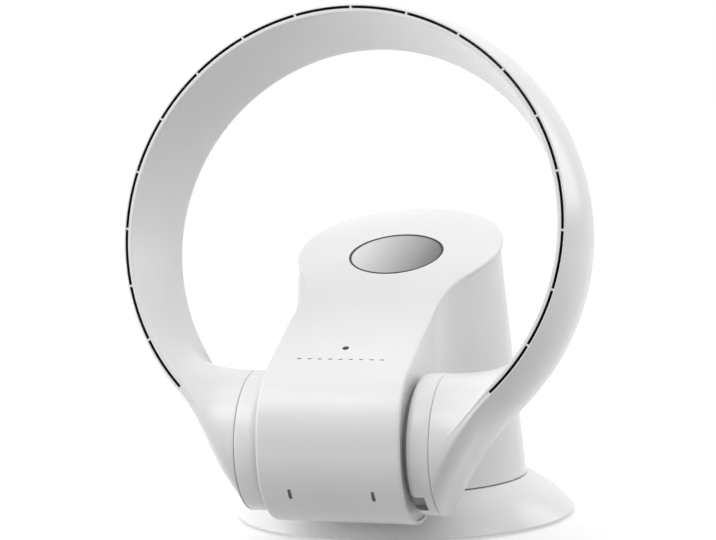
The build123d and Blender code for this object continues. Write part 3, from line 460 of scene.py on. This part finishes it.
def in_ring(x, depth, up):
    """A point of the leaning ring, from its place beside the tilt axis."""
    lean = radians(ring_lean)
    y = depth - pivot_back
    return (x, pivot[1] + y * cos(lean) + up * sin(lean), pivot[2] - y * sin(lean) + up * cos(lean))


def leg_line(radius, depth, turn, first_angle):
    """Points from the ring at an angle down the leg to the joint, close together, and the
    share of their length at which the ring's arc ends."""
    leave = smooth_between(turn, leave_angles)
    rear = 1 - step_up(turn, *rear_turns)
    front = rear + step_up(turn, *front_turns)
    level = step_up(turn, *level_turns) * rear
    stretch = step_up(turn, *stretch_turns) * rear
    arc = [
        (radius * sin(radians(a)), depth - pivot_back, pivot_drop + radius * cos(radians(a)))
        for a in np.linspace(first_angle, leave, 40)
    ]
    start = np.array(arc[-1])
    radial = np.array((0.0, -cos(radians(turn)), sin(radians(turn))))
    end = np.array((leg_face + leg_edge, 0.0, 0.0)) + leg_radius * radial
    chord = end - start
    length = np.linalg.norm(chord)
    out = np.array((cos(radians(leave)), 0, -sin(radians(leave))))
    inward = chord / length
    inward = inward - front * (inward @ radial) * radial
    inward = inward * (1 - level) + np.array((-1.0, 0, 0)) * level
    inward = inward / np.linalg.norm(inward)
    a = start + out * length * (leave_handle - leave_handle_stretch * stretch)
    handle = reach_handle - reach_handle_level * level + reach_handle_stretch * stretch
    b = end - inward * length * handle
    curve = []
    for t in np.linspace(0, 1, 60)[1:]:
        curve.append(start * (1 - t)**3 + 3 * a * t * (1 - t)**2 + 3 * b * t**2 * (1 - t) + end * t**3)
    line = np.array(arc + curve)
    steps = np.concatenate([[0], np.cumsum(np.linalg.norm(np.diff(line, axis=0), axis=1))])
    whole = steps[-1]
    arc_end = radius * radians(arc_half - first_angle) / whole
    return line, steps / whole, arc_end


def make_ring_body():
    """The air ring and both legs as one unbroken skin, with the outlet slot along its front."""
    section = ring_section()
    count = len(section)
    floor_of_slot = (count - 2, count - 1)
    ring_angles = np.linspace(0, leg_start_angle, 81)[:-1]
    rows = []
    for angle in ring_angles:
        rows.append([
            (r * sin(radians(angle)), d - pivot_back, pivot_drop + r * cos(radians(angle)))
            for r, d, _ in section
        ])
    lines = [leg_line(r, d, turn, leg_start_angle) for r, d, turn in section]
    slot_end = (lines[0][2] + lines[count - 3][2]) / 2
    shares = sorted(list(np.linspace(0, 1, 100)) + [slot_end, slot_end + 0.001])
    for share in shares:
        row = []
        for line, steps, _ in lines:
            row.append([np.interp(share, steps, line[:, axis]) for axis in range(3)])
        if share > slot_end:
            outer_wall = np.array(row[count - 3])
            inner_wall = np.array(row[0])
            row[floor_of_slot[0]] = list(outer_wall * 0.67 + inner_wall * 0.33)
            row[floor_of_slot[1]] = list(outer_wall * 0.33 + inner_wall * 0.67)
        rows.append(row)
    rows += spigot_rows([turn for _, _, turn in section])
    right = [[in_ring(x, y + pivot_back, z) for x, y, z in row] for row in rows]
    left = [[(-x, y, z) for x, y, z in row] for row in right[:0:-1]]
    points = np.array(left + right)
    faces = grid_faces(len(points), count)
    faces.append(tuple(range(count)))
    faces.append(tuple(range(len(points) * count - count, len(points) * count)))
    piece = add_piece("ring_body", points, faces, materials["white_gloss"], "ring", 40)
    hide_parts("ring_outer_shell", "ring_inner_shell", "right_leg", "left_leg")
    # The slot's floor and walls get a painted shade.
    paint_slot_shade(piece)


def spigot_rows(turns):
    """The leg's flat end, its rounded edge and the spigot that turns in the collar."""
    rows = []
    stations = []
    for turn in np.radians((30, 60, 90)):
        rim = leg_radius - leg_edge * (1 - cos(turn))
        stations.append((leg_face + leg_edge * (1 - sin(turn)), rim))
    stations += [(leg_face, hub_outer), (spigot_end, hub_outer), (spigot_end, hub_bore)]
    stations += [(leg_face + leg_floor, hub_bore)]
    for x, radius in stations:
        rows.append([(x, -radius * cos(radians(t)), radius * sin(radians(t))) for t in turns])
    return rows


def ring_polar(point):
    """Radius, depth and angle from the top of a point of the skin, as the ring measures them."""
    lean = radians(ring_lean)
    x, y, z = point[0] / MM, point[1] / MM - pivot[1], point[2] / MM - pivot[2]
    up = y * sin(lean) + z * cos(lean) - pivot_drop
    depth = y * cos(lean) - z * sin(lean) + pivot_back
    return hypot(x, up), depth, abs(degrees(atan2(x, up)))


def paint_slot_shade(piece):
    """Painted shade: a dark colour on the floor and walls of the outlet slot, for the shade deep inside it."""
    piece.data.materials.append(materials["dark_moulding"])
    for face in piece.data.polygons:
        corners = np.array([ring_polar(piece.data.vertices[k].co) for k in face.vertices])
        in_slot = np.all(np.abs(corners[:, 0] - slot_radius) < slot_half + 0.1)
        if in_slot and corners[:, 1].max() > 2 * slot_chamfer and corners[:, 2].min() < arc_half:
            face.material_index = 1


# ---------------------------------------------------------------- long front cover
def cover_profile(s, drop=0.0):
    """Point (y, z) on the cover's side profile; s runs from the top of the drum, negative up
    the neck to the head and positive down the front."""
    slope = radians(cover_slope)
    knee = cover_bend * (pi / 2 - slope)
    high = pivot[2] + cover_lift
    if s < 0:
        meet = (pivot[1] - cover_bend * sin(slope), high + cover_bend * cos(slope))
        centre = (meet[0] + crown_radius * sin(slope), meet[1] - crown_radius * cos(slope))
        turn = slope + s / crown_radius
        away = crown_radius - drop
        return centre[0] - away * sin(turn), centre[1] + away * cos(turn)
    if s < knee:
        turn = pi / 2 + slope + s / cover_bend
        return pivot[1] + (cover_bend - drop) * cos(turn), high + (cover_bend - drop) * sin(turn)
    if s < knee + cover_lift:
        return pivot[1] - cover_bend + drop, high - (s - knee)
    turn = pi + (s - knee - cover_lift) / cover_bend
    return pivot[1] + (cover_bend - drop) * cos(turn), pivot[2] + (cover_bend - drop) * sin(turn)


def cover_end():
    """The value of s where the cover ends under the drum."""
    knee = cover_bend * (pi / 2 - radians(cover_slope))
    return knee + cover_lift + cover_bend * radians(180 - cover_tail_angle)


def cover_place(y):
    """The value of s on the top of the cover above a place on the Y axis."""
    slope = radians(cover_slope)
    centre_y = pivot[1] - cover_bend * sin(slope) + crown_radius * sin(slope)
    return (asin((centre_y - y) / crown_radius) - slope) * crown_radius


def cover_point(x, s, drop=0.0):
    """A point on the cover, or below its surface by a drop."""
    y, z = cover_profile(s, drop)
    return (x, y, z)


def head_outline():
    """Right half of the cover's edge in the flat, (x, s), from the head's rear to its strip."""
    centre_x = cover_half + head_blend
    centre_y = -sqrt((head_radius + head_blend)**2 - centre_x**2)
    share = head_radius / (head_radius + head_blend)
    meet_angle = degrees(atan2(centre_y * share, centre_x * share))
    plan = []
    for angle in np.linspace(90, meet_angle, 64)[:-1]:
        plan.append((head_radius * cos(radians(angle)), head_radius * sin(radians(angle))))
    turn = degrees(atan2(centre_y * share - centre_y, centre_x * share - centre_x))
    for angle in np.radians(np.linspace(turn, 180, 22)):
        plan.append((centre_x + head_blend * cos(angle), centre_y + head_blend * sin(angle)))
    return [(x, cover_place(y)) for x, y in plan]


def cover_edge_loop(columns):
    """The cover's whole edge in the flat, with the way inwards at each point, and the number
    of points down each side of the strip."""
    head = head_outline()
    strip_start = head[-1][1]
    strip = list(np.linspace(strip_start, 0, 20)[1:]) + list(np.linspace(0, cover_end(), 72)[1:])
    right = head + [(cover_half, s) for s in strip]
    end = [(x, cover_end()) for x in np.linspace(cover_half, -cover_half, columns + 1)[1:-1]]
    left = [(-x, s) for x, s in right[:0:-1]]
    loop = np.array(right + end + left)
    inward = np.zeros_like(loop)
    for k in range(len(loop)):
        before = loop[k] - loop[k - 1]
        after = loop[(k + 1) % len(loop)] - loop[k]
        a = np.array((before[1], -before[0])) / np.linalg.norm(before)
        b = np.array((after[1], -after[0])) / np.linalg.norm(after)
        inward[k] = -(a + b) / (1 + a @ b)
    middle = np.array((0.0, cover_place(0.0)))
    if (middle - loop[10]) @ inward[10] < 0:
        inward = -inward
    return loop, inward, len(head), len(strip)


def make_cover():
    """Long front cover as one bent sheet with rounded edges and the display's round hole."""
    columns = 44
    loop, inward, head_count, strip_count = cover_edge_loop(columns)
    total = len(loop)
    points = []
    faces = []
    holes = []

    def add(x, s, drop):
        points.append(cover_point(x, s, drop))
        return len(points) - 1

    def flat_ring(inset, drop):
        return [add(*(loop[k] + inward[k] * inset), drop) for k in range(total)]

    rings = [flat_ring(0.0, cover_thickness), flat_ring(0.0, cover_edge)]
    for angle in (18, 36, 54, 72, 90):
        turn = radians(angle)
        rings.append(flat_ring(cover_edge * (1 - cos(turn)), cover_edge * (1 - sin(turn))))
    for lower, upper in zip(rings, rings[1:]):
        for k in range(total):
            n = (k + 1) % total
            faces.append((lower[k], lower[n], upper[n], upper[k]))
    for edge, drop in ((rings[-1], 0.0), (rings[0], cover_thickness)):
        inset = cover_edge if drop == 0.0 else 0.0
        inner = loop + inward * inset
        sheet, hole = cover_sheet(edge, inner, add, drop, columns, head_count, strip_count)
        faces += sheet
        holes.append(hole)
    hole_top, hole_low = holes
    for k in range(len(hole_top)):
        n = (k + 1) % len(hole_top)
        faces.append((hole_top[k], hole_top[n], hole_low[n], hole_low[k]))
    piece = add_piece("front_cover_skin", points, faces, materials["white_gloss"], "housing")
    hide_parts("front_cover")
    cut_pull_slots(piece)


def cover_sheet(edge, inner, add, drop, columns, head_count, strip_count):
    """Quads that fill the cover's edge loop, in rows down the strip and rays about the display,
    and the loop of the display's hole."""
    faces = []
    total = len(edge)

    def right(row):
        return head_count - 1 + row

    def left(row):
        return total - (head_count - 1 + row)

    rows = []
    for row in range(strip_count + 1):
        a, b = right(row), left(row)
        if row == strip_count:
            rows.append([edge[k] for k in range(a, b + 1)])
            continue
        middle = [
            add(*(inner[a] + (inner[b] - inner[a]) * j / columns), drop) for j in range(1, columns)
        ]
        rows.append([edge[a]] + middle + [edge[b]])
    for upper, lower in zip(rows, rows[1:]):
        for j in range(columns):
            faces.append((upper[j], upper[j + 1], lower[j + 1], lower[j]))
    outer = [edge[k] for k in range(left(0), total)] + [edge[k] for k in range(0, right(0))]
    outer += rows[0][:-1]
    flat = [inner[k] for k in range(left(0), total)] + [inner[k] for k in range(0, right(0))]
    flat += [inner[right(0)] + (inner[left(0)] - inner[right(0)]) * j / columns for j in range(columns)]
    centre = np.array((0.0, cover_place(display_y)))
    previous = outer
    steps = 14
    for step in range(1, steps + 1):
        share = step / steps
        current = []
        for place in flat:
            away = place - centre
            reach = np.linalg.norm(away)
            near = centre + away / reach * (display_radius + display_gap)
            current.append(add(*(place + (near - place) * share), drop))
        for k in range(len(outer)):
            n = (k + 1) % len(outer)
            faces.append((previous[k], previous[n], current[n], current[k]))
        previous = current
    return faces, previous


def cut_pull_slots(piece):
    """Cuts the two upright pockets low on the drum's front; their cut walls take a dark grey as painted shade."""
    width, height, depth = pull_slot_size
    for side in (-1, 1):
        work = bmesh.new()
        outline = []
        for end, first in ((1, 0), (-1, 180)):
            for angle in np.linspace(first, first + 180, 9):
                outline.append((
                    width / 2 * cos(radians(angle)),
                    end * (height - width) / 2 + width / 2 * sin(radians(angle)),
                ))
        near = [work.verts.new(Vector((x, -depth * 1.6, z)) * MM) for x, z in outline]
        far = [work.verts.new(Vector((x * 0.86, depth, z * 0.95)) * MM) for x, z in outline]
        work.faces.new(near)
        work.faces.new(far[::-1])
        for k in range(len(outline)):
            n = (k + 1) % len(outline)
            work.faces.new((near[n], near[k], far[k], far[n]))
        bmesh.ops.recalc_face_normals(work, faces=work.faces)
        mesh = bpy.data.meshes.new("pocket")
        work.to_mesh(mesh)
        work.free()
        place = Matrix.Translation(Vector(pivot) * MM) @ Matrix.Rotation(radians(pull_slot_angle), 4, "X")
        place = place @ Matrix.Translation(Vector((side * pull_slot_x, -cover_bend, 0)) * MM)
        mesh.transform(place)
        # Painted shade: the pocket walls cut by this mesh take its dark grey.
        mesh.materials.append(materials["duct_grey"])
        cutter = bpy.data.objects.new("pocket", mesh)
        bpy.context.scene.collection.objects.link(cutter)
        cut = piece.modifiers.new("pocket", "BOOLEAN")
        cut.operation = "DIFFERENCE"
        cut.solver = "EXACT"
        cut.material_mode = "TRANSFER"
        cut.object = cutter
        apply_modifiers(piece)
        bpy.data.objects.remove(cutter)
    piece.data.set_sharp_from_angle(angle=radians(32))


def apply_modifiers(piece):
    """Bakes a piece's modifiers into its mesh."""
    graph = bpy.context.evaluated_depsgraph_get()
    made = bpy.data.meshes.new_from_object(piece.evaluated_get(graph))
    piece.modifiers.clear()
    piece.data = made


# ---------------------------------------------------------------- collars
notch_start_angle = 38.0
notch_span_angle = 18.8
notch_width = 11.0
notch_depth = 3.6
notch_set_back = 6.3
collar_edge = 1.0
collar_shoulder = 6.0
collar_wall = 9.0


def rounding(x, radius, way, steps):
    """Stations (x, drop, in the recess) round a rim at x, from its side face to its top."""
    turns = np.radians(np.linspace(0, 90, steps))
    return [(x + way * radius * (1 - cos(t)), radius * (1 - sin(t)), False) for t in turns]


def make_collar(side, name, node, latched):
    """Round collar with a soft shoulder towards the drum; a latched one has the low recess."""
    high_x = collar_face - notch_set_back
    low_x = high_x - notch_width
    stations = [(collar_inner, collar_wall, False)]
    for x, drop, _ in rounding(collar_inner, collar_shoulder, 1, 12):
        stations.append((x, drop, x > low_x))
    stations += [(high_x - 0.1, 0.0, True), (high_x, 0.0, False)]
    stations += rounding(collar_face, collar_edge, -1, 5)[::-1]
    stations += [(collar_face, collar_wall, False)]
    first = notch_start_angle
    last = first + notch_span_angle
    angles = sorted(list(np.linspace(0, 360, 145)[:-1]) + [first - 0.1, first, last, last + 0.1])
    rows = []
    for angle in angles:
        row = []
        for x, drop, in_notch in stations:
            radius = leg_radius - drop
            if latched and in_notch and first <= angle <= last:
                radius = min(radius, leg_radius - notch_depth)
            turn = radians(angle)
            row.append((side * x, pivot[1] - radius * cos(turn), pivot[2] - radius * sin(turn)))
        rows.append(row)
    faces = torus_faces(len(rows), len(stations))
    piece = add_piece(name, rows, faces, materials["white_gloss"], "housing")
    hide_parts(node)
    if latched:
        # The recess's floor and walls get a painted shade.
        paint_recess_shade(piece)


def paint_recess_shade(piece):
    """Painted shade: grey on the floor and walls of the collar's recess, for the shade inside it."""
    piece.data.materials.append(materials["duct_grey"])
    for face in piece.data.polygons:
        middle = face.center / MM
        ahead = pivot[1] - middle.y
        below = pivot[2] - middle.z
        turn = degrees(atan2(below, ahead)) - notch_start_angle
        reach = hypot(ahead, below)
        inside = -0.2 < turn < notch_span_angle + 0.2
        if inside and leg_radius - notch_depth - 0.3 < reach < leg_radius - 0.6:
            face.material_index = 1


# ---------------------------------------------------------------- display, lens and marks
def on_cover(x, y):
    """A place on the cover with Z square to its surface, in metres."""
    s = cover_place(y)
    lean = radians(cover_slope) + s / crown_radius
    place = Vector(cover_point(x, s)) * MM
    return Matrix.Translation(place) @ Matrix.Rotation(lean, 4, "X")


def lathe(name, profile, material, body, place, segments=128):
    """A piece turned from (radius, height) points about a placed Z axis."""
    rows = []
    for radius, height in profile:
        row = []
        for k in range(segments):
            turn = 2 * pi * k / segments
            spot = place @ (Vector((radius * cos(turn), radius * sin(turn), height)) * MM)
            row.append(tuple(spot / MM))
        rows.append(row)
    faces = grid_faces(len(rows), segments)
    faces.append(tuple(range(segments)))
    faces.append(tuple(range((len(rows) - 1) * segments, len(rows) * segments)))
    return add_piece(name, rows, faces, material, body)


def make_display():
    """Round display: a thin dark rim and a shallow domed lens inside it."""
    place = on_cover(0, display_y)
    outer = display_radius - 0.05
    inner = display_radius - display_rim
    rim = [
        (inner, -3.0), (inner, -0.35), (inner + 0.12, -0.15), (inner + 0.4, -0.05),
        (outer - 0.4, -0.05), (outer - 0.1, -0.15), (outer, -0.35), (outer, -3.0),
    ]
    bezel = ring_of("display_rim", rim, materials["dark_moulding"], place)
    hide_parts("display_bezel")
    dome = [(inner - 0.05, -1.9), (inner - 0.05, -0.75), (inner - 0.3, -0.5)]
    for share in np.linspace(0.03, 1, 16):
        radius = (inner - 0.3) * (1 - share) + 0.2 * share
        dome.append((radius, -0.5 + 0.45 * (1 - (radius / inner)**2)))
    face = lathe("display_lens", dome, materials["display_face"], "housing", place)
    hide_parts("display_window")


def ring_of(name, profile, material, place, segments=128):
    """A closed ring turned from a closed outline about a placed Z axis."""
    rows = []
    for k in range(segments):
        turn = 2 * pi * k / segments
        row = []
        for radius, height in profile:
            spot = place @ (Vector((radius * cos(turn), radius * sin(turn), height)) * MM)
            row.append(tuple(spot / MM))
        rows.append(row)
    faces = torus_faces(segments, len(profile))
    return add_piece(name, rows, faces, material, "housing")


def make_lens_and_marks():
    """Dark receiver lens and the row of plain level marks below it."""
    place = on_cover(0, lens_y)
    dome = [(lens_radius, -1.0), (lens_radius, -0.02), (lens_radius - 0.15, 0.12)]
    for share in np.linspace(0.1, 1, 7):
        radius = (lens_radius - 0.15) * (1 - share) + 0.05 * share
        dome.append((radius, 0.12 + 0.3 * (1 - (radius / lens_radius)**2)))
    lens = lathe("receiver_dome", dome, materials["dark_gloss"], "housing", place, 48)
    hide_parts("receiver_lens")
    points = []
    faces = []
    width, height = mark_size
    for step in range(marks_count):
        x = (step - (marks_count - 1) / 2) * marks_pitch
        spot = on_cover(x, marks_y)
        start = len(points)
        for rise, inset in ((-0.3, 0.0), (0.03, 0.0), (0.06, 0.12)):
            for u, v in ((-1, -1), (1, -1), (1, 1), (-1, 1)):
                corner = Vector((u * (width / 2 - inset), v * (height / 2 - inset), rise))
                points.append(tuple((spot @ (corner * MM)) / MM))
        faces += grid_faces(3, 4, start)
        faces.append(tuple(range(start, start + 4)))
        faces.append(tuple(range(start + 8, start + 12)))
    marks = add_piece("level_mark_row", points, faces, materials["mark_grey"], "housing")
    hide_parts("level_marks")


# ---------------------------------------------------------------- CAD nodes that stay
def dress_nodes():
    """Gives every CAD node that stays in view the finish of its slot."""
    for name, node in frame["nodes"].items():
        slot = node_slot(name)
        node.data.materials.clear()
        node.data.materials.append(materials[slot])


def node_slot(name):
    """The material slot that the record gives a node."""
    return next(entry["material_slot"] for entry in frame["record"]["subparts"] if entry["node"] == name)


# ---------------------------------------------------------------- stage, light and camera
# The floor's colour and glow for the rays that show it (white, lift) and for the rays that
# only carry its light to the fan (hidden, bounce), and the shade in front of the fan
floor_white = 0.62
floor_hidden = 0.2
floor_lift = 0.4
floor_bounce = 0.34
floor_shade_place = (0.03, -0.5)
floor_shade_reach = (0.46, 0.28)
world_even = 0.04
world_above = 1.42
light_aim = Vector((0, -0.08, 0.2))


def area_light(name, place, size, power):
    """A soft box at a place, turned to the fan, in metres and watts."""
    data = bpy.data.lights.new(name, "AREA")
    data.shape = "RECTANGLE"
    data.size, data.size_y = size
    data.energy = power
    light = bpy.data.objects.new(name, data)
    bpy.context.scene.collection.objects.link(light)
    light.location = place
    light.rotation_euler = (light_aim - Vector(place)).to_track_quat("-Z", "Y").to_euler()


def make_lights():
    """Soft boxes in front, to the left and to the right, and one behind the fan's right side."""
    area_light("front_box", (-0.8, -1.3, 1.6), (0.9, 0.9), 6.2)
    area_light("rear_box", (1.3, 1.3, 0.9), (0.8, 1.2), 6.0)
    area_light("right_box", (1.3, -0.1, 1.3), (0.6, 0.6), 1.2)
    area_light("left_box", (-1.8, -0.3, 0.7), (0.8, 1.2), 9.0)
    area_light("left_strip", (-1.6, -1.0, 0.25), (0.5, 0.4), 6.0)


def math_node(tree, operation, first, second, clamp=False):
    """A sum, product or other step on sockets or plain numbers."""
    node = tree.nodes.new("ShaderNodeMath")
    node.operation = operation
    node.use_clamp = clamp
    for socket, value in zip(node.inputs, (first, second)):
        if isinstance(value, (int, float)):
            socket.default_value = value
        else:
            tree.links.new(value, socket)
    return node.outputs["Value"]


def seen_rays(tree):
    """1 for rays that show the backdrop, straight or in gloss and glass, and 0 for others."""
    rays = tree.nodes.new("ShaderNodeLightPath")
    both = math_node(tree, "ADD", rays.outputs["Is Camera Ray"], rays.outputs["Is Glossy Ray"])
    return math_node(tree, "ADD", both, rays.outputs["Is Transmission Ray"], True)


def make_world():
    """White backdrop over a room whose light comes from above."""
    world = bpy.data.worlds.new("studio")
    bpy.context.scene.world = world
    world.use_nodes = True
    tree = world.node_tree
    place = tree.nodes.new("ShaderNodeTexCoord")
    split = tree.nodes.new("ShaderNodeSeparateXYZ")
    tree.links.new(place.outputs["Generated"], split.inputs["Vector"])
    above = math_node(tree, "MAXIMUM", split.outputs["Z"], 0.0)
    room = math_node(tree, "ADD", math_node(tree, "MULTIPLY", above, world_above), world_even)
    seen = seen_rays(tree)
    hidden = math_node(tree, "SUBTRACT", 1.0, seen)
    level = math_node(tree, "ADD", math_node(tree, "MULTIPLY", room, hidden), seen)
    back = tree.nodes["Background"]
    back.inputs["Color"].default_value = grey(1.0)
    tree.links.new(level, back.inputs["Strength"])


def make_floor():
    """Plain pale floor that keeps the fan's shadow and lights it a little from below."""
    mesh = bpy.data.meshes.new("floor")
    reach = 8.0
    corners = [(-reach, -reach, 0), (reach, -reach, 0), (reach, reach, 0), (-reach, reach, 0)]
    mesh.from_pydata(corners, [], [(0, 1, 2, 3)])
    floor = bpy.data.objects.new("floor", mesh)
    bpy.context.scene.collection.objects.link(floor)
    material, shader = new_material("floor")
    tree = material.node_tree
    seen = seen_rays(tree)
    hidden = math_node(tree, "SUBTRACT", 1.0, seen)
    shade = ramp(material, seen, grey(floor_hidden), grey(floor_white), 0.0, 1.0)
    tree.links.new(shade, shader.inputs["Base Color"])
    shader.inputs["Roughness"].default_value = 0.7
    shader.inputs["Specular IOR Level"].default_value = 0.0
    shader.inputs["Emission Color"].default_value = grey(1.0)
    bounce = math_node(tree, "MULTIPLY", hidden, floor_bounce)
    bounce = math_node(tree, "MULTIPLY", bounce, floor_shade(tree))
    lift = math_node(tree, "MULTIPLY", seen, floor_lift)
    tree.links.new(math_node(tree, "ADD", bounce, lift), shader.inputs["Emission Strength"])
    mesh.materials.append(material)


def floor_shade(tree):
    """0 in the shade in front of the fan and 1 round it."""
    place = tree.nodes.new("ShaderNodeTexCoord")
    split = tree.nodes.new("ShaderNodeSeparateXYZ")
    tree.links.new(place.outputs["Object"], split.inputs["Vector"])
    squares = []
    for axis, middle, reach in zip("XY", floor_shade_place, floor_shade_reach):
        away = math_node(tree, "SUBTRACT", split.outputs[axis], middle)
        away = math_node(tree, "DIVIDE", away, reach)
        squares.append(math_node(tree, "POWER", math_node(tree, "ABSOLUTE", away, 0.0), 2.0))
    whole = math_node(tree, "ADD", squares[0], squares[1])
    edge = tree.nodes.new("ShaderNodeMapRange")
    edge.interpolation_type = "SMOOTHSTEP"
    edge.inputs["From Min"].default_value = 0.56
    edge.inputs["From Max"].default_value = 1.1
    tree.links.new(whole, edge.inputs["Value"])
    return edge.outputs["Result"]


camera_place = (0.607, -2.122, 0.4176)
camera_forward = (-0.2883, 0.9523, -0.1002)
camera_roll = -1.34
camera_lens = 140.28


def make_camera():
    """The photograph's view."""
    data = bpy.data.cameras.new("camera")
    data.lens = camera_lens
    data.sensor_width = 36.0
    data.clip_end = 50
    camera = bpy.data.objects.new("camera", data)
    bpy.context.scene.collection.objects.link(camera)
    camera.location = camera_place
    camera.rotation_mode = "QUATERNION"
    turn = Vector(camera_forward).to_track_quat("-Z", "Y")
    camera.rotation_quaternion = turn @ Quaternion((0, 0, 1), radians(camera_roll))
    bpy.context.scene.camera = camera


# ---------------------------------------------------------------- the scene
make_camera()
dress_nodes()
make_ring_body()
make_cover()
make_collar(1, "right_collar_ring", "right_collar", True)
make_collar(-1, "left_collar_ring", "left_collar", False)
make_display()
make_lens_and_marks()
make_floor()
make_lights()
make_world()
bpy.context.scene.view_settings.view_transform = "Standard"
